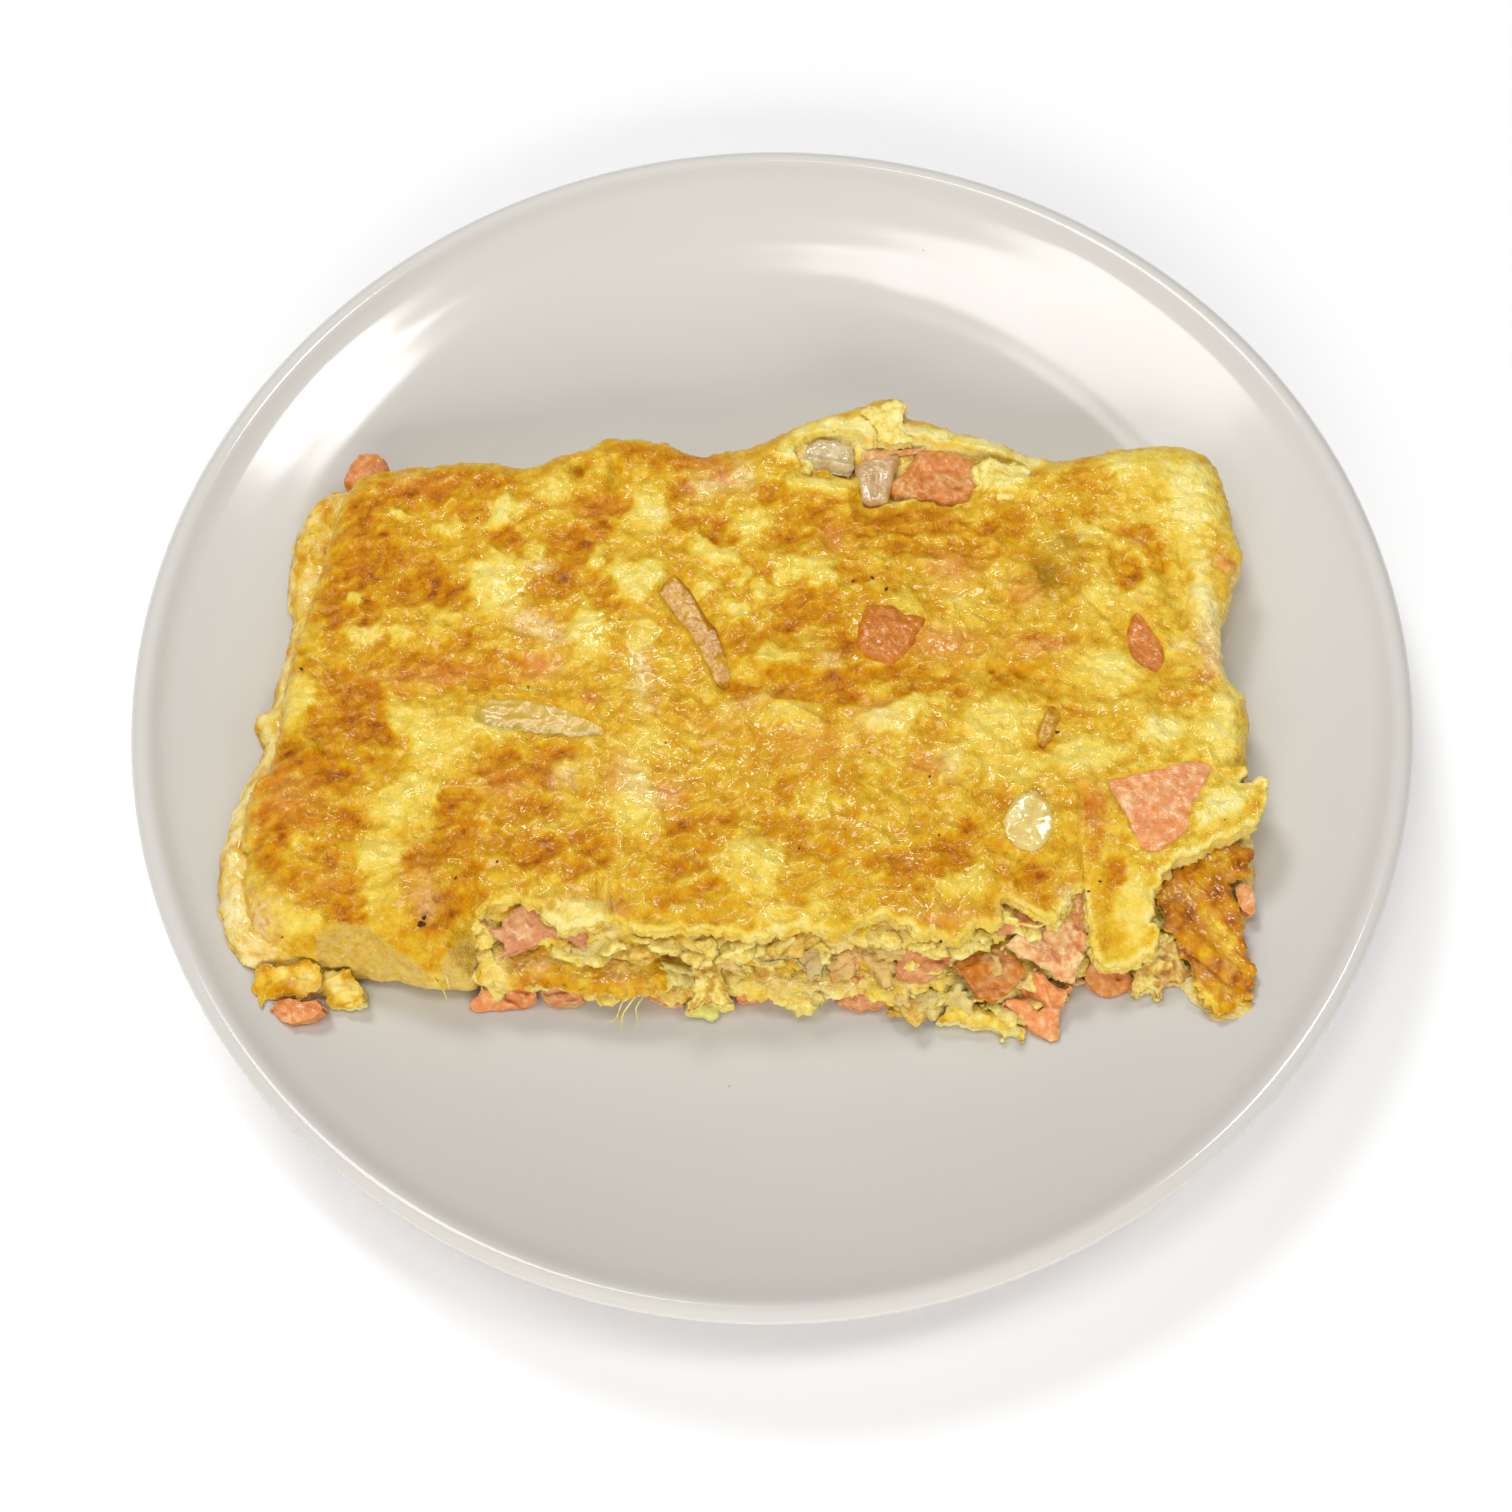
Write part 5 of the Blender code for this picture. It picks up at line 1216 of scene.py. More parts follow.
# %% Salmon chunks
# Outline on the plan, height of the top, its rise to the right and to the back, thickness (None
# if it stands on the plate), raggedness, cut or torn, folds (line, half width, rise), and last
# the shares of mauve, browned and film.  A chunk in the skin has its height over its pocket.
SALMON = {
    "lox_corner_back": (
        [(-88, 41), (-84, 39.5), (-80.5, 43), (-81, 45.4), (-82.6, 46.8), (-85.4, 46.9),
         (-87, 45)], 20.6, (0, -0.1), 5.0, 0.3, CUT, [], (0, 0.5, 0)),
    "lox_back_left": (
        [(20.6, 40), (20.6, 44.4), (23.5, 45.6), (27, 45.8), (31.6, 45.8), (35.4, 45.2),
         (37, 42.6), (33.4, 42.6), (29, 42.4), (27.4, 38.6)], 23.4, (0, 0.05), 4.6, 0.3, CUT,
        [([(29.6, 43.8), (35.4, 44.4)], 0.5, 0.3)], (0.35, 0.0, 0.25)),
    "lox_back_right": (
        [(27.6, 35.6), (29.6, 33.6), (33, 32.6), (36.4, 32.6), (40.6, 31.6), (43.6, 33.8),
         (45.4, 36.6), (44.6, 40.2), (42, 42.2), (38, 43), (34, 43.2), (32.6, 41.4),
         (30.6, 38.6)], 23.4, (0.02, -0.06), 6.0, 0.6, TORN,
        [([(29.4, 35.4), (31.6, 38.4), (33.4, 42)], 0.8, 0.7),
         ([(33.6, 34.6), (33.9, 38.4)], 0.5, -0.5)], (0, 0.7, 0.2)),
    "lox_front_mauve": (
        [(-55.8, -56.2), (-53, -57.2), (-50.4, -54.6), (-47.6, -53), (-44.6, -54.4), (-42, -56),
         (-38.5, -57.4), (-34.4, -58.6), (-34.6, -61.6), (-36.6, -63.4), (-39.6, -61.8),
         (-42.4, -61.2), (-45.2, -62.4), (-48.4, -63.6), (-52.6, -64.6), (-52, -61.6),
         (-54.4, -59.6)], 21.2, (0.01, 0.14), 2.4, 0.5, TORN,
        [([(-53, -58), (-47, -57), (-43, -60.4)], 0.8, -0.5),
         ([(-49.6, -55), (-46.4, -58.4), (-40, -60)], 0.9, 0.6),
         ([(-52, -62.4), (-46, -61.4)], 0.5, -0.5)], (0.95, 0, 0.25)),
    "lox_front_strip": (
        [(30.4, -66), (34, -62.4), (38, -60.4), (42.6, -59), (44.6, -57.6), (42.8, -55.2),
         (44, -55), (46.6, -57.8), (49.4, -59.2), (50.8, -61.8), (47.4, -61.4), (44.6, -62.4),
         (41, -63.4), (37, -64.6), (33.6, -66.6)], 20.6, (0, 0.08), 1.4, 0.5, TORN,
        [([(33, -65), (40, -61.8), (46, -60)], 0.6, 0.7),
         ([(44, -56.6), (49.6, -60.8)], 0.5, 0.5)], (0.8, 0, 0.1)),
    "lox_film_right": (
        [(41.4, -64.6), (44.4, -62), (46.6, -60.8), (50, -60.2), (52.6, -57.8), (54.2, -56.2),
         (57.4, -53.2), (59.6, -54), (60.2, -57), (59.4, -60), (59.4, -63.6), (58, -66.8),
         (56.6, -69.4), (55, -72), (52.2, -71.9), (50.4, -70), (48.4, -68.6), (46, -67.4),
         (43.6, -65.8)], 19.0, (0, 0.24), 1.4, 0.55, TORN,
        [([(46, -64), (50, -67), (54, -70)], 0.9, 0.5),
         ([(53, -60), (55, -65), (57, -67)], 0.7, 0.5),
         ([(49, -62), (52, -64.6), (52.6, -68)], 0.5, -0.6),
         ([(55.4, -57), (57, -61), (59, -63)], 0.6, -0.7)], (0.45, 0, 1.0)),
    "lox_front_big": (
        [(21.4, -69.4), (22, -65.4), (23.8, -62.2), (27, -61), (30, -62), (32.6, -64.6),
         (34.6, -66), (32.6, -67.8), (30.6, -70.2), (27, -71.6), (23.6, -71)], 17.6, (0, 0.40),
        2.4, 0.4, TORN, [([(24, -68.4), (28, -66.6), (32, -66.4)], 0.7, -0.7),
         ([(23, -64.6), (28, -63.6)], 0.6, -0.3)], (0.7, 0.15, 0.1)),
    "lox_film_brown": (
        [(32.4, -67.8), (35, -65.6), (38, -65), (40.6, -64.2), (43.6, -65.2), (46.2, -67.6),
         (46.8, -70), (44.6, -72.6), (42, -74.4), (40.2, -75.6), (37, -75), (35.8, -73.4),
         (34.6, -71.4), (33.6, -69.4)], 16.6, (0, 0.26), 1.8, 0.5, TORN,
        [([(34.4, -69), (39, -67.6), (45, -68.6)], 0.5, 0.5),
         ([(36.4, -72.4), (42, -72)], 0.5, -0.5)], (0, 1.2, 0.2)),
    "lox_front_fan": (
        [(40.8, -75.4), (42.4, -73.6), (44.4, -72.6), (46.8, -70), (48, -68), (50.2, -69.8),
         (52.2, -71.8), (55, -72), (54.2, -74.6), (52.4, -77.4), (52.4, -80.2), (51.4, -83),
         (49.4, -83.6), (46, -81.2), (43.6, -78.6)], 12.8, (-0.02, 0.36), None, 0.3, CUT,
        [([(44, -73.4), (46.4, -74.4), (48, -76)], 0.8, -2.6),
         ([(46.4, -71.4), (47, -73.6), (48.2, -75.6)], 0.7, -2.4),
         ([(41.4, -75), (45, -75), (49, -76.8), (52.2, -77.2)], 0.45, 0.9),
         ([(47.6, -69), (49.4, -73), (50, -76)], 0.4, 0.5)], (0, 0, 0)),
    "lox_front_1": (
        [(-58, -73.4), (-56.4, -70.4), (-55.2, -68.2), (-50, -67), (-45, -67.4), (-44.2, -70.4),
         (-44.8, -72.6), (-47.4, -74.2), (-52, -74.6), (-55.4, -74.9)], 11.4, (0, 0.5), None, 0.3,
        TORN, [([(-52, -69.4), (-50.4, -71.6), (-46.6, -73.4)], 0.5, -1.1),
         ([(-50, -69.6), (-46.4, -70.8)], 0.4, -0.8),
         ([(-56.6, -72.4), (-51.4, -70.6)], 0.9, 0.6), ([(-47.4, -69.2), (-47, -73)], 0.6, 0.5)],
        (0, 0, 0)),
    "lox_front_2": (
        [(-44.6, -71.4), (-43.6, -68), (-39, -67.4), (-35.4, -69), (-34.8, -71.6), (-36.4, -73.4),
         (-40.4, -74.4), (-43.4, -73.6)], 11.0, (0, 0.5), None, 0.5, TORN,
        [([(-43, -71), (-39, -70.4), (-36, -70.4)], 0.5, -0.8),
         ([(-42.6, -72.6), (-37.4, -72)], 0.5, -0.6)], (0.8, 0.1, 0.4)),
    "lox_front_3": (
        [(-25.4, -70), (-21, -68.6), (-17.4, -69), (-16.6, -72), (-17, -74), (-19.2, -74.8),
         (-22.8, -73.6), (-25, -72.4)], 11.2, (0, 0.5), None, 0.6, TORN,
        [([(-24, -71.6), (-20, -72), (-17.4, -72.8)], 0.5, -0.6)], (0.4, 0.2, 0.4)),
    "lox_front_4": (
        [(-9.6, -68), (-7.6, -67), (-3, -67.6), (-0.6, -70.6), (1.2, -72.2), (-2, -73.6),
         (-4.4, -74.2), (-6.8, -74.4), (-8.4, -73.2)], 11.2, (0, 0.5), None, 0.3, TORN,
        [([(-8, -70.6), (-4.4, -72), (-1, -72.6)], 0.5, 0.5)], (0, 0.45, 0)),
    "lox_front_5": (
        [(9.4, -69.6), (13, -68.4), (17, -69), (20.6, -70.6), (22.4, -72.6), (21.4, -75),
         (18, -76.4), (13.6, -76.2), (10.8, -74.6), (9.6, -72)], 11.4, (0, 0.5), None, 0.5, TORN,
        [([(10.6, -71), (14.6, -72.4), (20, -73)], 0.5, -0.7),
         ([(12, -74), (16, -74.6), (20.6, -74.4)], 0.5, 0.5),
         ([(14, -69.6), (15.4, -72)], 0.4, 0.4)], (0.6, 0.2, 0.15)),
    "lox_front_gold": (
        [(9, -68.4), (11.2, -66.6), (13.8, -65.6), (16.6, -63.6), (18.4, -63), (17.6, -65.6),
         (16, -67.4), (14.8, -69), (12, -69.8), (10, -71)], 16.0, (0.04, 0.2), 2.4, 0.5, TORN,
        [([(10, -69.4), (13.6, -67), (17.4, -64.4)], 0.5, 0.5)], (0, 0.3, 0.6)),
    "lox_front_6": (
        [(56.4, -70.4), (58, -67.4), (59.8, -64.6), (62.6, -64), (65, -66), (66.4, -69),
         (66, -73), (63.4, -75), (60.4, -75.4), (57.6, -73.2)], 13.0, (0, 0.45), None, 0.3, TORN,
        [([(62.4, -65.2), (63.6, -68), (63.4, -71)], 0.6, -1.0),
         ([(59, -67), (61, -72)], 1.0, 0.3)], (0, 0.5, 0.15)),
    "lox_left": (
        [(-95.2, -72.8), (-94.2, -70.4), (-91, -69.8), (-88.4, -70.4), (-85.6, -70.2),
         (-83.8, -72), (-84, -73.6), (-86, -75.2), (-90, -76.4), (-92.6, -75.4)], 19.6, (0, 0.06),
        None, 0.25, CUT, [([(-92.6, -71.2), (-90.6, -73), (-90, -75.8)], 0.5, 0.5),
         ([(-94, -72), (-91.6, -73.6)], 0.4, -0.6), ([(-88, -71.6), (-85, -72.6)], 0.4, -0.5)],
        (0, 0.1, 0)),
    "lox_right": (
        [(86.8, -54.2), (88.6, -52.8), (90.4, -53), (91.4, -56.4), (90.6, -60), (88.6, -60.4),
         (86.8, -57.4)], 18.0, (0, 0.1), 3.0, 0.5, TORN, [], (0.0, 0.2, 0.3)),
    "lox_top_cube": (
        IN_SKIN["lox_top_cube"], 0.55, (0, 0), 3.0, 0.15, CUT, [], (0, 1.1, 0)),
    "lox_top_diamond": (
        IN_SKIN["lox_top_diamond"], -0.25, (0, 0), 3.0, 0.25, CUT, [], (0, 0.9, 0)),
    "lox_top_big": (
        IN_SKIN["lox_top_big"], -0.2, (0, 0), 3.0, 0.5, TORN, [], (0.15, 0, 0.12)),
}
for node, seed, points, faces, crevice_shade, (mauve, browned, film) in chunks(
        SALMON, fish_relief, 301.0):
    x, y, z = points.T
    phase = flake_phase(x, y, z, seed)
    patches = 0.5 * cloud(x, y, 4.0, seed + 4, 2, z)
    show(node + "_flesh", points, faces, smoked_salmon, "salmon", [node], {
        "flake": np.clip(1 - np.minimum(phase, 1 - phase) / 0.12, 0, 1), "hollow": crevice_shade,
        "mauve": patchy(mauve, 0.5 * patches), "browned": patchy(browned, patches),
        "film": patchy(film, patches)})

# %% [markdown]
# ### Onion
#
# Cooked onion is glassy: light goes in, scatters and comes out warmer, and its skin side is
# smooth with fine veins along it.  So its shape is nearly plain, and the work is in a
# subsurface glow and a clear, smooth coat.  Two strips are fried brown along their edges.


# %% Onion material
def onion_paint(name, clear, warm, edge, coat, pores=0.22):
    """Glassy onion: two colours that drift into each other, the colour of its browned rim."""
    onion = Paint(name)
    share = onion.cloud(2.4, detail=3.0).between(0.36, 0.64)
    colour = onion.mix(share, linear(*clear), linear(*warm))
    colour = onion.mix(onion.painted("rim"), colour, linear(*edge))
    colour = onion.mix(onion.painted("vein") * 0.22, colour, linear(*edge))
    return onion.finish(
        Base_Color=colour, Roughness=0.16 + 0.14 * onion.cloud(2.0), Specular_IOR_Level=0.6,
        Coat_Weight=coat * onion.cloud(3.0).between(0.1, 0.5), Coat_Roughness=0.06,
        Subsurface_Weight=0.25, Subsurface_Radius=(1.0, 0.85, 0.55), Subsurface_Scale=2.4 * MM,
        Normal=onion.bump(onion.cloud(1.2, detail=3.0), pores))


clear_onion = onion_paint("clear_onion", (208, 188, 142), (190, 164, 110), (184, 150, 92), 0.6)
blush_onion = onion_paint("blush_onion", (204, 174, 124), (188, 148, 96), (184, 130, 78), 0.4)
yellow_onion = onion_paint(
    "yellow_onion", (226, 204, 124), (214, 184, 92), (206, 168, 64), 1.0, 0.06)
soft_onion = onion_paint("soft_onion", (206, 174, 78), (200, 162, 54), (216, 174, 44), 0.15, 0.12)
fried_onion = onion_paint("fried_onion", (210, 160, 34), (190, 134, 8), (140, 70, 0), 0.1)

# %% Onion pieces
# As for salmon, but last the direction of the veins in degrees, the paint and the browned rim.
ONION = {
    "onion_back_left": (
        [(5.4, 42), (9.2, 46.8), (12.2, 48.6), (16, 48), (20.2, 46.4), (20.4, 40), (18.4, 37.2),
         (15.2, 38.4), (10.6, 38.8), (6.6, 40)], 24.0, (-0.02, 0.11), 4.0, 0.3, CUT,
        [([(10, 42.6), (14, 41.6), (19, 40.4)], 0.9, 0.5)], (10, clear_onion, 0.1)),
    "onion_back_right": (
        [(20.4, 40.6), (20.4, 36), (21, 33), (22.6, 31.8), (25.4, 32.6), (26.4, 36), (27.4, 40),
         (28.4, 42.6), (24, 42.4)], 23.9, (0.04, -0.02), 5.0, 0.15, CUT,
        [([(23.4, 33.6), (24, 38)], 0.5, -0.3)], (80, blush_onion, 0.15)),
    "onion_glossy": (
        IN_SKIN["onion_glossy"], 0.1, (0, 0), 3.0, 0.5, TORN,
        [([(47.6, -42.6), (48.6, -36.4)], 3.2, 0.55)], (70, yellow_onion, 0.1)),
    "onion_strip": (
        IN_SKIN["onion_strip"], -0.65, (0, 0), 3.0, 0.8, TORN, [], (-8, soft_onion, 0.8)),
    "onion_fried": (
        IN_SKIN["onion_fried"], -0.4, (0, 0), 3.0, 0.2, CUT,
        [([(-15.6, 14), (-10.6, 6), (-8.2, -4)], 0.4, 0.5),
         ([(-13.4, 0), (-10.4, -7.6)], 0.6, -0.6)], (-62, fried_onion, 0.9)),
    "onion_sliver": (
        IN_SKIN["onion_sliver"], 0.3, (0, 0), 3.0, 0.2, CUT, [], (65, fried_onion, 0.5)),
}
VEIN = 1.1  # mm between two veins
for node, seed, points, faces, crevice_shade, (turn, paint, rim) in chunks(ONION, onion_relief, 501.0):
    x, y, z = points.T
    c, s = math.cos(math.radians(turn + 90)), math.sin(math.radians(turn + 90))
    across, along = x * c + y * s, x * s - y * c
    middle = (across - across.min()) / np.ptp(across)
    ends = np.abs((along - along.min()) / np.ptp(along) - 0.5)
    if node == "onion_fried":
        browned = rim * smoothstep(middle, 0.62, 0.86)
    elif node == "onion_sliver":
        browned = smoothstep(ends, 0.34, 0.46)
    else:
        browned = rim * smoothstep(np.abs(middle - 0.5), 0.3, 0.5)
    vein = 0.5 + 0.5 * np.sin(across / VEIN * 2 * math.pi + 2.5 * cloud(x, y, 6.0, seed, 2, z))
    slot = "fried_onion" if node == "onion_fried" else "onion"
    show(node + "_flesh", points, faces, paint, slot, [node], {"vein": vein, "rim": browned})

# %% [markdown]
# ### Curds, curls and the crisp flap
#
# Curds are the soft egg inside: pale, moist and lumpy like cottage cheese, with painted shade
# that darkens their clefts.  The curls at the left and the flap at the right lay on the pan, and
# are golden to deep brown with raised ridges.


# %% Curd material
curd = Paint("soft_curd")
grain = curd.cloud(1.3, detail=4.0, roughness=0.6)
colour = curd.ramp((grain + 0.35 * (curd.cloud(4.5) - 0.5)).clipped(), (0.30, (224, 186, 68)),
                   (0.48, (242, 218, 112)), (0.68, (250, 238, 158)))
# Painted shade: clefts darken to a deep yellow-brown.
hollow = (curd.painted("hollow") * (0.5 + curd.cloud(2.0))).clipped()
colour = curd.mix(hollow, colour, linear(206, 156, 60))
colour = curd.mix(curd.painted("golden"), colour, curd.ramp(
    grain, (0.3, (190, 122, 8)), (0.5, (212, 154, 32)), (0.7, (232, 190, 78))))
colour = curd.mix(curd.painted("grey"), colour, linear(206, 180, 122))
colour = curd.mix(curd.painted("rosy") * 0.7, colour, linear(214, 158, 104))
moist = curd.cloud(1.6, detail=3.0).between(0.4, 0.6)
soft_curd = curd.finish(
    Base_Color=colour, Roughness=0.46 - 0.3 * moist, Specular_IOR_Level=0.5,
    Subsurface_Weight=0.12, Subsurface_Radius=(1.0, 0.7, 0.3), Subsurface_Scale=1.6 * MM,
    Normal=curd.bump(curd.cloud(0.8, detail=4.0, roughness=0.6), 0.5))


def show_curd(name, points, faces, replaces, hollow, golden=0.0, grey=0.0, rosy=0.0):
    show(name, points, faces, soft_curd, "soft_egg", replaces,
         {"hollow": hollow, "golden": golden, "grey": grey, "rosy": rosy})


# %% Curds
# As for salmon, but last the shares of golden, grey and rosy.
PALE_LUMPS = {  # curd that beds the pieces in the two tears
    "tear_curd_a": (
        [(20.6, 53.6), (22.4, 55.6), (26, 57.2), (30, 57.6), (32.6, 55.4), (31, 52.4),
         (31.6, 49.4), (33, 46.6), (30.4, 45.2), (26, 45.6), (23.6, 46.2), (23.8, 49.6)], 26.4,
        (0, 0.03), 3.0, 0.8, TORN, [], (0, 0, 0)),
    "tear_curd_b": (
        [(45.4, 38.6), (46.2, 35), (48.4, 32.6), (51.6, 32.4), (54.6, 34.4), (56.2, 37.6),
         (54, 39.4), (50.6, 39.8), (47.6, 40.6)], 25.5, (0, -0.05), 4.0, 0.8, TORN, [], (0, 0, 0)),
    "tear_curd_c": (
        [(5, 40.4), (7.4, 39), (9.8, 39.6), (10.4, 41.4), (8.8, 43), (9.6, 45.4), (8, 46.6),
         (5.8, 44)], 24.0, (0.0, -0.05), 3.0, 0.8, TORN, [], (0.1, 0, 0)),
}
CURDS = {
    "curd_front_left": (
        [(-18, -68), (-16, -65.6), (-12.6, -64.4), (-9.6, -65.6), (-9.4, -68.6), (-8.6, -71),
         (-7.4, -73), (-8.2, -74.6), (-10.4, -75), (-12.2, -74.2), (-15, -74.6), (-17.4, -75.2),
         (-16.6, -72), (-18.4, -70.4)], 15.0, (0, 0.5), None, 0.9, TORN, [], (0, 0, 0)),
    "curd_front_grey": (
        [(-4.4, -60.6), (-2, -58.6), (4, -58), (8.6, -59.6), (10, -62.4), (8.4, -64.6),
         (9.6, -67), (8.4, -69.8), (5.6, -69.6), (3.4, -66.8), (0.4, -66.4), (-2.6, -67),
         (-4.6, -64.4)], 19.7, (0, 0.45), 4.4, 0.9, TORN, [], (0, 1.0, 0)),
    "curd_front_low": (
        [(1, -70.4), (2.6, -67.2), (6, -66), (9.4, -67.4), (9.8, -71), (9, -74), (6.4, -74.8),
         (3.4, -75), (1.6, -73)], 12.4, (0, 0.2), None, 0.9, TORN, [], (0, 0.2, 0)),
    "curd_front_right": (
        [(65, -72.6), (66, -69), (68, -65.8), (70.6, -62.8), (73.6, -61.8), (75.6, -64.6),
         (77, -68), (77.8, -70.6), (76, -72.6), (73, -73.4), (70.6, -75.6), (68.6, -74.2),
         (66.4, -74.8)], 15.2, (0, 0.22), None, 1.0, TORN,
        [([(69, -70), (71, -68.4), (73.4, -69), (73, -71.4)], 0.6, 0.9),
         ([(71, -70.4), (72.4, -70)], 0.5, -0.9)], (0, 0, 0.35)),
}
# The last number of each row scales the painted shade in the clefts.
for table, relief, first_seed, deep in ((PALE_LUMPS, soft_relief, 651.0, 0.4),
                                        (CURDS, curd_relief, 601.0, 1.0)):
    for name, seed, points, faces, crevice_shade, shares in chunks(table, relief, first_seed):
        x, y, z = points.T
        patches = 0.5 * cloud(x, y, 5.0, seed, 2, z)
        is_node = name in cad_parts
        show_curd(name + "_lumps" * is_node, points, faces, [name] if is_node else None,
                  deep * crevice_shade, *(patchy(share, patches) for share in shares))

# %% [markdown]
# The open front is a jumble of curd flakes, 2 to 5 mm long, that stick out between the layers.
# Each is a ball of triangles, flattened, dented by noise, tilted a little at random, and sunk
# for about a half into the layer behind it.  Some stretches at the foot get none, so that the
# salmon there stays bare.

# %% Flakes of curd along the open front
def flakes(seed, rows):
    """Points, faces, a painted shade number for the dented places and a tint number of many flakes,
    one list entry each.
    """
    chance = np.random.default_rng(seed)
    bm = bmesh.new()
    bmesh.ops.create_icosphere(bm, subdivisions=3, radius=1.0)
    ball = np.array([v.co for v in bm.verts])
    corners = np.array([[v.index for v in f.verts] for f in bm.faces])
    bm.free()
    all_points, all_faces, dent_shade, tints = [], [], [], []
    for place, size, tint in rows:
        flat = chance.uniform((1.0, 0.8, 0.30), (1.7, 1.2, 0.50)) * size
        turn = np.array(Euler(chance.normal(0, (0.5, 0.35, 0.5))).to_matrix())
        start = chance.uniform(0, 90)
        dent = np.abs(cloud(*ball[:, :2].T, 1.1, start, 2, ball[:, 2]))
        shaped = ball * (0.6 + 1.1 * dent)[:, None] * flat @ turn.T + place
        shaped[:, 2] = np.clip(shaped[:, 2], plate_top(*shaped[:, :2].T) + 0.1, HIGHEST)
        all_faces.append(corners + len(ball) * len(all_points))
        all_points.append(shaped)
        # Painted shade where a flake is dented.
        dent_shade.append(smoothstep(dent, 0.25, 0.0))
        tints.append(np.full(len(ball), tint))
    return [np.concatenate(part) for part in (all_points, all_faces, dent_shade, tints)]


def along_front(front, count, seed, x_low, x_high, z_low, z_high, out=0.0):
    """Places along a front line at random heights, with sizes and tints."""
    chance = np.random.default_rng(seed)
    line = np.array(front)
    rows = []
    for x in np.linspace(x_low, x_high, count):
        x += chance.uniform(-1.2, 1.2)
        y = np.interp(x, line[:, 0], line[:, 1]) - chance.uniform(-1.2, 0.5) - out
        rows.append(((x, y, chance.uniform(z_low, z_high)), chance.uniform(1.6, 3.6),
                     chance.uniform(0, 1)))
    return rows


BARE, BARE_BELOW = ((-26, -17), (-10, 1), (10, 22)), 13.2  # from x to x, under this height
BESIDE_FRONT = [  # at the roll and at the flap
    (-56.8, -54.8, 19.6), (-57.0, -57.4, 17.5), (-57.2, -60.0, 15.5), (-57.4, -62.6, 12.5),
    (75.0, -53.6, 15.5), (75.4, -56.6, 15.0), (75.8, -60.0, 14.6),
]
rows = (along_front(UPPER_FRONT, 34, 1, -38, 56, 17.4, 21.0)
        + along_front(LOWER_FRONT, 20, 2, -26, 58, 8.4, 13.0)
        + along_front(INNER_FRONT, 12, 3, -18, 40, 13.4, 17.0)
        + along_front(INNER_FRONT, 10, 4, -58, -20, 12.6, 14.0, -1.4)
        + along_front(LOWER_FRONT, 14, 5, 21, 53, 8.6, 12.0, 2.6)
        + [(place, 2.6, 0.5) for place in BESIDE_FRONT])
rows = [((x, y, z), size, tint) for (x, y, z), size, tint in rows
        if z > BARE_BELOW or not any(low < x < high for low, high in BARE)]
points, faces, dent_shade, tints = flakes(7, rows)
rosy = smoothstep(tints, 0.16, 0.2) * smoothstep(tints, 0.3, 0.26) * 0.8
show_curd("curd_flakes", points, faces, None, 0.35 * dent_shade,
          smoothstep(tints, 0.82, 0.9) * 0.6, smoothstep(tints, 0.12, 0.06) * 0.5, rosy)

# %% [markdown]
# Soft egg also tears into threads, which hang from the skin's edge and from the lower curds.
# Each is a thin tube along a curve, thickest in its middle.  Specks of scorched fat are tiny
# dark flakes that lie on the skin.

# %% Threads of egg and scorched specks
def tubes(rows, sides=7):
    """Points and faces of closed tubes; each row is places and the greatest radius."""
    all_points, all_faces, start = [], [], 0
    for line, radius in rows:
        line = np.array(line, float)
        steps = np.linspace(0, len(line) - 1, 7 * len(line))
        middle = np.column_stack([np.interp(steps, np.arange(len(line)), line[:, k])
                                  for k in range(3)])
        for _ in range(4):
            middle[1:-1] = (middle[:-2] + 2 * middle[1:-1] + middle[2:]) / 4
        along = np.gradient(middle, axis=0)
        along /= np.linalg.norm(along, axis=1)[:, None]
        one = np.cross(along, (0.3, 0.2, 1.0))
        one /= np.linalg.norm(one, axis=1)[:, None]
        two = np.cross(along, one)
        swell = np.sin(np.linspace(0.12, math.pi - 0.12, len(steps)))
        thick = radius * (0.15 + 0.85 * swell ** 0.7)
        thick *= 1 + 0.35 * cloud(*middle[:, :2].T, 1.2, radius * 50, 2)
        angles = np.arange(sides) / sides * 2 * math.pi
        c, s = np.cos(angles)[None, :, None], np.sin(angles)[None, :, None]
        ring = middle[:, None] + thick[:, None, None] * (c * one[:, None] + s * two[:, None])
        all_points += [ring.reshape(-1, 3), middle[[0, -1]]]
        count = len(steps)
        for i in range(count - 1):
            a = start + i * sides + np.arange(sides)
            b = np.roll(a, -1)
            all_faces += [np.column_stack([a, a + sides, b + sides]),
                          np.column_stack([a, b + sides, b])]
        first = start + np.arange(sides)
        last = first + (count - 1) * sides
        tip = start + count * sides
        all_faces += [np.column_stack([np.roll(first, -1), np.full(sides, tip), first]),
                      np.column_stack([last, np.full(sides, tip + 1), np.roll(last, -1)])]
        start += count * sides + 2
    return np.concatenate(all_points), np.concatenate(all_faces)


THREADS = [
    ([(-66, -64, 19), (-65.6, -66, 18), (-64.2, -67.4, 16.6), (-63.6, -69, 15.4)], 0.16),
    ([(-64.6, -63.4, 19.4), (-63.2, -65.4, 18.2), (-63, -67.4, 16.8)], 0.13),
    ([(-26.5, -66, 16), (-27.4, -69, 13.8), (-30.2, -72, 11.2), (-30.6, -74.4, 9.4)], 0.2),
    ([(-27, -68, 15), (-30, -69.8, 13), (-31.4, -72.8, 10.8), (-33.0, -73.4, 10.2)], 0.16),
    ([(-25, -68, 14), (-27.6, -71, 12), (-27.2, -73.4, 10), (-28.0, -74.4, 9.4)], 0.14),
    ([(46, -59, 22), (50, -59.8, 21.6), (55, -57.4, 21.6)], 0.3),
]
points, faces = tubes(THREADS)
show_curd("egg_threads", points, faces, None, 0.0)

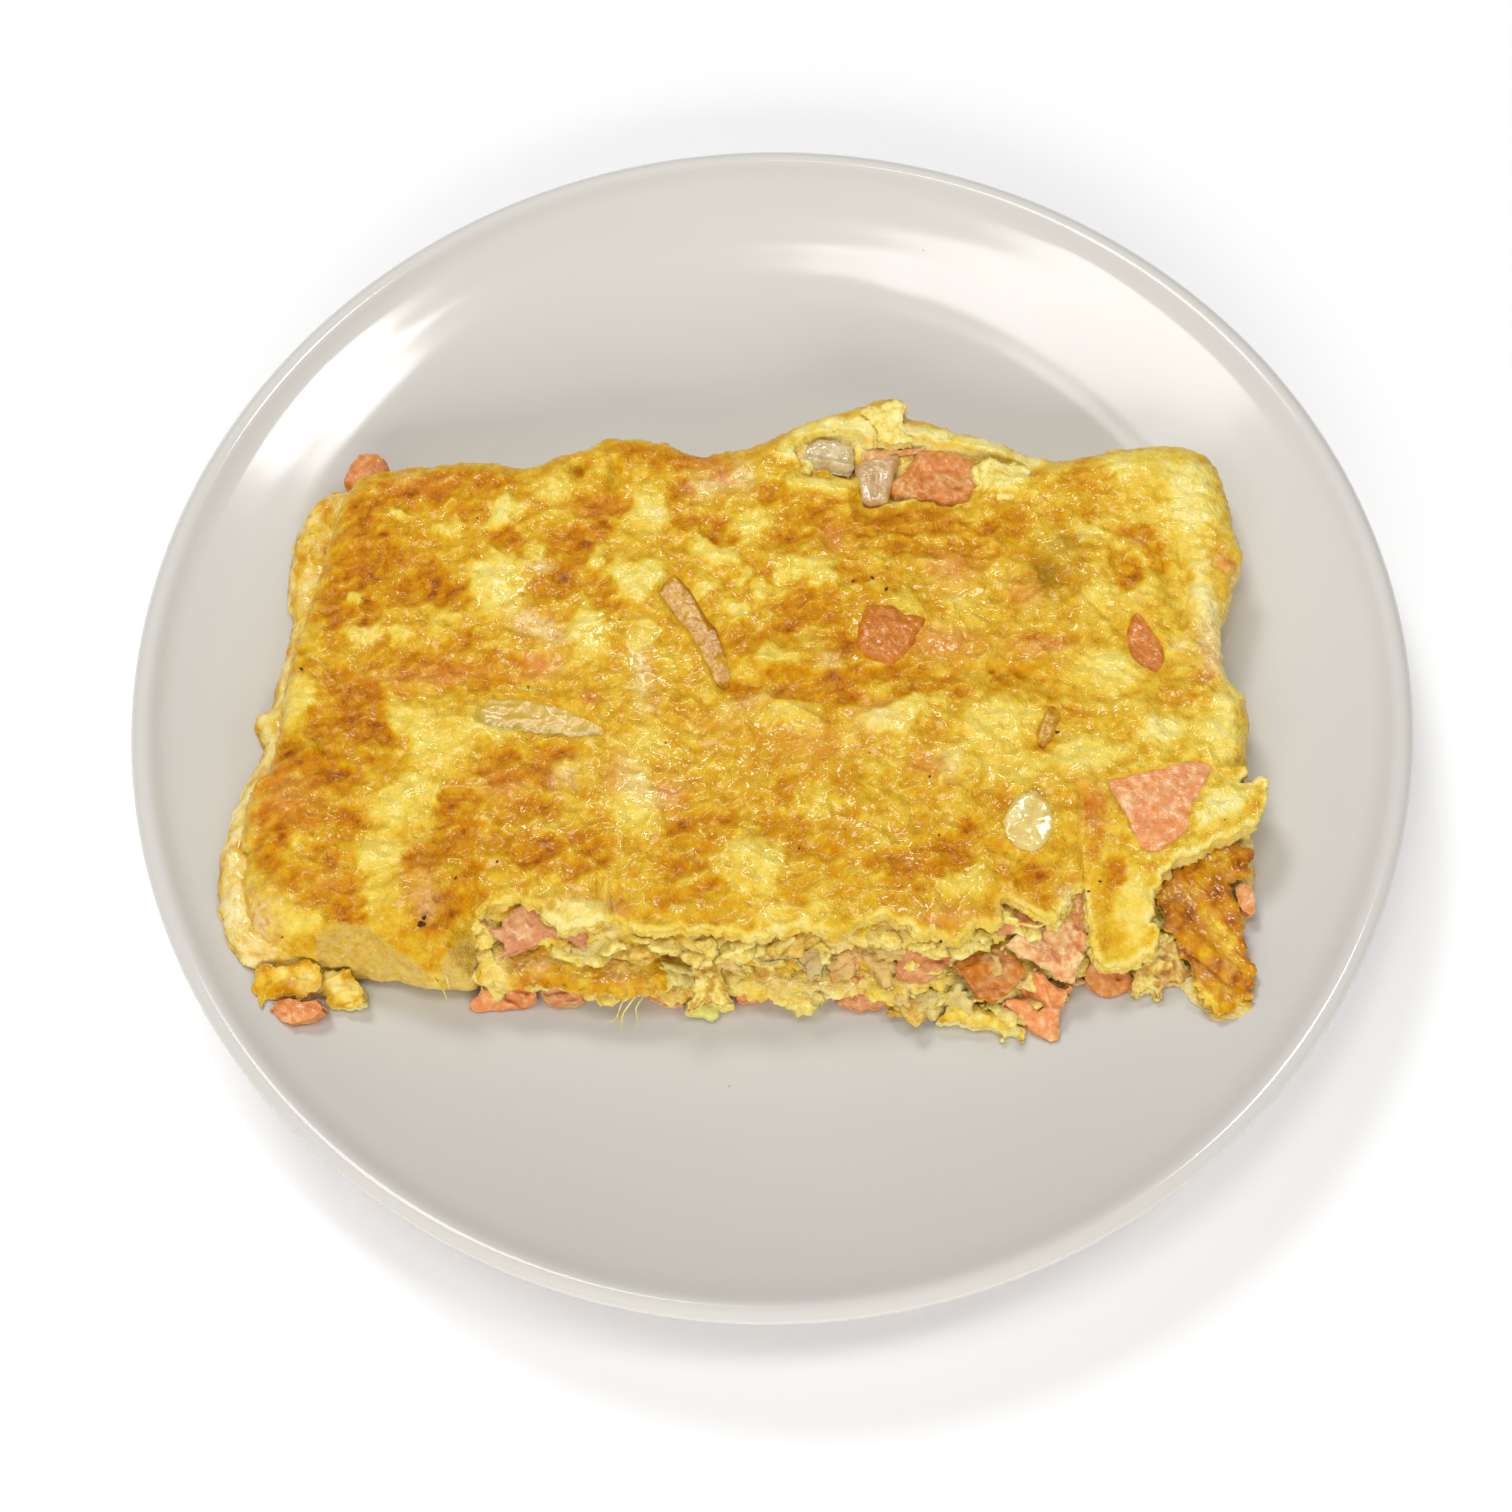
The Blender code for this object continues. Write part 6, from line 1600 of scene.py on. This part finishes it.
SPECKS = [  # place on the skin and size
    (-67, -57, 1.1), (-66.4, -56, 0.7), (-94, -3, 0.5), (62, -52, 0.55), (60, -53.5, 0.4),
    (31, -63, 0.4), (-93, -59, 0.4), (31, -30, 0.35), (32, -42, 0.35), (22, 14, 0.6),
    (18, 13.5, 0.45), (24.5, 11, 0.6), (-61, -48, 0.4), (-53, -45, 0.35), (-48.4, -7.4, 0.3),
    (-83, 13, 0.25), (-60, 31, 0.3), (56.6, -21.4, 0.6), (-14, 2.5, 0.3), (5, -44, 0.25),
    (72, -45.6, 0.3),
]
placed = []
for x, y, size in SPECKS:
    z = leaf_top(np.array([float(x)]), np.array([float(y)]), np.array([9.0]))[0]
    placed.append(((x, y, z + 0.05), 0.65 * size, 0.5))
points, faces, *_ = flakes(11, placed)
char = Paint("scorched_specks")
scorched = char.finish(
    Base_Color=char.mix(char.cloud(0.5), linear(46, 24, 10), linear(96, 48, 18)),
    Roughness=0.35 + 0.2 * char.cloud(0.6), Specular_IOR_Level=0.4)
show("scorched_bits", points, faces, scorched, "browned_egg", None)

# %% A bit of green onion at the foot of the pile
green = Paint("green_bit")
colour = green.mix(green.cloud(2.0, detail=3.0), linear(206, 206, 84), linear(232, 226, 140))
green_bit = green.finish(
    Base_Color=colour, Roughness=0.2 + 0.1 * green.cloud(1.0), Specular_IOR_Level=0.5,
    Normal=green.bump(green.cloud(0.9, detail=3.0), 0.3))
GREEN_BIT = [(-18, -74.6), (-16, -73), (-12, -73), (-10.2, -74.4), (-10.4, -77), (-13, -77.4),
             (-15.4, -77), (-17.4, -76.4)]
points, faces, _ = chunk("free", onion_relief, 801.0,
                         GREEN_BIT, 9.0, (0, 0.15), 1.6, 0.5, TORN, [])
show("green_onion_bit", points, faces, green_bit, "onion", None)

# %% Curls, torn piece and crisp flap
# As for salmon, but last the mean browning and the slot.
BROWNED = {
    "egg_front_torn": (
        [(28.4, -78.2), (30.8, -75.4), (33.4, -72.2), (35.4, -73.6), (38, -75.4), (41, -76),
         (43.4, -78.4), (45.6, -80.2), (45, -83.2), (42.6, -82.2), (40.6, -82.8), (39.6, -80.8),
         (36, -80.6), (33, -79.4), (30, -79.2)], 11.0, (-0.03, 0.14), None, 0.6, TORN,
        [([(30.6, -77.4), (35, -76.4), (40, -78.6)], 0.8, 0.5)], (0.26, "golden_egg")),
    "egg_curl_left": (
        [(-98.8, -66.4), (-97.2, -63.2), (-93, -63.4), (-88, -62.8), (-84.8, -64.4),
         (-84.8, -68.2), (-86, -70.6), (-88.6, -71.4), (-92, -70.8), (-94.8, -71.6), (-95.4, -73),
         (-97.4, -71.4), (-98.8, -69.4)], 19.6, (0, 0.22), None, 0.8, TORN,
        [([(-98, -69), (-96.6, -66), (-93, -65)], 0.9, 0.5),
         ([(-95.4, -69.6), (-94.8, -67)], 0.5, -0.7),
         ([(-94, -69), (-90.6, -67.4), (-87, -68)], 0.7, 0.4)], (0.46, "golden_egg")),
    "egg_curl_right": (
        [(-87.2, -68.6), (-85.8, -65.6), (-82, -64.6), (-79, -63.6), (-78.4, -65.4),
         (-77.2, -67.6), (-75.8, -71.4), (-77.2, -72.8), (-80.4, -73.4), (-83.8, -73),
         (-84.8, -71), (-86.2, -70)], 17.0, (0.02, 0.22), None, 0.9, TORN,
        [([(-86.6, -68.6), (-83, -67.6), (-79.4, -65.6)], 0.6, 0.9),
         ([(-83.4, -70.2), (-81.4, -72), (-78.4, -71.2)], 0.5, -0.8),
         ([(-84, -71.8), (-81, -70), (-78, -70)], 0.5, 0.7),
         ([(-82, -68.2), (-78.6, -68)], 0.7, -0.5)], (0.34, "golden_egg")),
    "egg_flap_brown": (
        [(71.8, -57), (72.4, -53.4), (75, -50.4), (79, -48), (83.4, -45.6), (87, -44.6),
         (91.2, -46), (91.8, -49), (90.6, -51.8), (88, -53.2), (87, -55.4), (87.6, -58.8),
         (88.8, -62), (88.4, -65.4), (89.2, -69.6), (88.8, -73.4), (87.8, -76.4), (84, -77.6),
         (80.8, -79), (77.8, -76.4), (76.6, -73), (77, -70.2), (75, -66), (73.4, -61.6)], 19.3,
        (0.01, 0.05), 2.0, 1.5, TORN,
        [([(72.6, -60), (75.6, -65.4), (79.6, -69), (84, -73)], 0.6, -0.7),
         ([(74.4, -58), (78, -64), (84, -69.6)], 0.9, 0.7),
         ([(77, -52), (82, -51), (90, -47.4)], 0.8, 0.5),
         ([(79, -58), (85, -56), (87, -57)], 0.8, 0.5)], (0.74, "crisp_egg")),
}
crisp_skin = egg_paint("crisp_skin", dry=0.40, pores=0.5, mottle=0.6)
# On the flap: the turned rim that shows its pale underside, a pale streak and a dark fold.
TURNED_RIM = [(76, -66), (78.6, -72.4), (83, -76.8), (89, -75)]
PALE_STREAK = [(87, -46.6), (80, -52.6), (88, -66)]
DARK_FOLD = [(73, -58.4), (76, -63.4), (84, -70.4)]
for node, seed, points, faces, _, (browning, slot) in chunks(BROWNED, crisp_relief, 701.0):
    x, y, z = points.T
    up = smoothstep(normals_of(points, faces)[:, 2], 0.0, 0.6)
    shade = cloud(x, y, 3.0, seed, 3, z)
    toast = browning + 0.34 * shade - 0.30 * (1 - up)
    if slot == "crisp_egg":
        pale = (0.36 * smoothstep(line_distance(x, y, TURNED_RIM), 2.4, 1.2)
                + 0.26 * smoothstep(line_distance(x, y, PALE_STREAK), 2.2, 0.8))
        toast -= pale * up
        toast += 0.25 * smoothstep(line_distance(x, y, DARK_FOLD), 1.0, 0.3)
    milky = (1 - browning) * np.clip(0.1 + 0.7 * cloud(x, y, 4.0, seed, 2, z), 0, 1)
    show(node + "_skin", points, faces, crisp_skin, slot, [node],
         {"toast": np.clip(toast, 0, 1), "wet": np.clip(0.5 + 0.5 * shade, 0, 1),
          "milky": milky, "rosy": 0.0, "olive": 0.0})

# %% [markdown]
# ## Stage, light and camera
#
# The floor is plain and pale.  Four soft lights shape the food, from the left, the right, the
# front and the back, and are kept out of reflections.  Two panels are what the glaze mirrors, at
# the back left and back right.  The last light gives the egg its many small wet highlights.  It
# is linked to the food alone, because the plate would mirror it as a streak that the photograph
# doesn't have.  The camera stands in front of the plate and looks steeply down, as the
# photograph does.

# %% Floor
floor_paint = Paint("pale_floor")
white = floor_paint.mix(floor_paint.cloud(400.0), linear(246, 246, 246), linear(249, 249, 249))
pale_floor = floor_paint.finish(
    Base_Color=white, Roughness=0.9 + 0.05 * floor_paint.cloud(50.0), Specular_IOR_Level=0.1)
FLOOR_HALF = 2.5  # metres
floor_mesh = bpy.data.meshes.new("floor")
floor_mesh.from_pydata([(sx * FLOOR_HALF, sy * FLOOR_HALF, 0.0) for sx, sy in
                        ((-1, -1), (1, -1), (1, 1), (-1, 1))], [], [(0, 1, 2, 3)])
floor_mesh.materials.append(pale_floor)
floor = bpy.data.objects.new("floor", floor_mesh)
bpy.context.scene.collection.objects.link(floor)
floor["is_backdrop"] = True

# %% World and lights
world = bpy.data.worlds.new("soft_room")
bpy.context.scene.world = world
world.use_nodes = True
room = world.node_tree.nodes["Background"]
room.inputs["Color"].default_value = linear(252, 252, 255)
room.inputs["Strength"].default_value = 0.20


def panel(name, place, target, size, power, mirrored, colour=(1.0, 1.0, 1.0)):
    """A rectangular light that faces the target; mirrored ones show in glossy surfaces."""
    light = bpy.data.lights.new(name, "AREA")
    light.shape, light.size, light.size_y = "RECTANGLE", size[0], size[1]
    light.energy, light.color = power, colour
    obj = bpy.data.objects.new(name, light)
    obj.location = place
    obj.rotation_euler = (Vector(target) - Vector(place)).to_track_quat("-Z", "Y").to_euler()
    obj.visible_glossy = mirrored
    bpy.context.scene.collection.objects.link(obj)
    return obj


# Places, targets and sizes in metres, then the power in watts.
panel("key_left", (-0.9, -0.5, 1.3), (0, 0, 0), (1.2, 1.2), 1.2, False)
panel("fill_right", (1.0, -0.3, 1.2), (0, 0, 0), (1.4, 1.4), 0.15, False)
panel("front", (0.0, -1.15, 0.55), (0, 0, 0), (1.4, 0.6), 13.4, False, (1.0, 0.98, 0.95))
panel("top_back", (-0.4, 0.8, 0.95), (0, 0, 0), (0.4, 0.3), 7.0, False)
panel("mirrored_right", (0.42, 0.19, 1.2), (0.42, 0.19, 0), (0.26, 0.22), 2.6, True)
sheen = panel("sheen", (-0.05, 0.62, 1.1), (-0.05, 0.5, 0), (0.34, 0.1), 3.0, True)
sheen.visible_diffuse = False
food = bpy.data.collections.new("food")
for piece in shown[1:]:  # all but the plate
    food.objects.link(piece)
sheen.light_linking.receiver_collection = food
window = panel("mirrored_left", (-0.29, 0.15, 1.2), (-0.29, 0.15, 0), (0.46, 0.34), 3.4, True)
window.rotation_euler.rotate_axis("Z", math.radians(25))

# %% Camera
CAMERA_ANGLE = 50.0  # like all angles here in degrees, and the places in metres
STAND = dict(elevation=64.37, distance=0.3318, height=0.022)
AIM = dict(yaw=0.5109, pitch=-3.7145, roll=1.707)


def camera_matrix(stand, aim):
    """From a place in front and above, aimed at the plate's middle and then turned a little."""
    steep = math.radians(stand["elevation"])
    middle = Vector((0.0, 0.0, stand["height"]))
    place = middle + stand["distance"] * Vector((0.0, -math.cos(steep), math.sin(steep)))
    forward = (middle - place).normalized()
    right = forward.cross(Vector((0, 0, 1))).normalized()
    up = right.cross(forward)
    turns = Matrix.Rotation(math.radians(aim["yaw"]), 3, up)
    forward, right = turns @ forward, turns @ right
    turns = Matrix.Rotation(math.radians(aim["pitch"]), 3, right)
    forward, up = turns @ forward, turns @ up
    turns = Matrix.Rotation(math.radians(aim["roll"]), 3, forward)
    right, up = turns @ right, turns @ up
    matrix = Matrix((right, up, -forward)).transposed().to_4x4()
    matrix.translation = place
    return matrix


camera_data = bpy.data.cameras.new("camera")
camera_data.angle = math.radians(CAMERA_ANGLE)
camera_data.clip_start = 0.01
camera = bpy.data.objects.new("camera", camera_data)
camera.matrix_world = camera_matrix(STAND, AIM)
bpy.context.scene.collection.objects.link(camera)
bpy.context.scene.camera = camera
bpy.context.scene.view_settings.view_transform = "Standard"

# %% [markdown]
# ## Sizes
#
# The box of the dressed food is printed; the box of the solids was printed at the start.
# The dressed food may not outgrow its solids.

# %% Print the box of the dressed food
low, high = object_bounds()
{"cad": [list(cad_low), list(cad_high)], "visual": [list(low), list(high)]}
print("visual box", [round(v / MM, 1) for v in (*low, *high)])
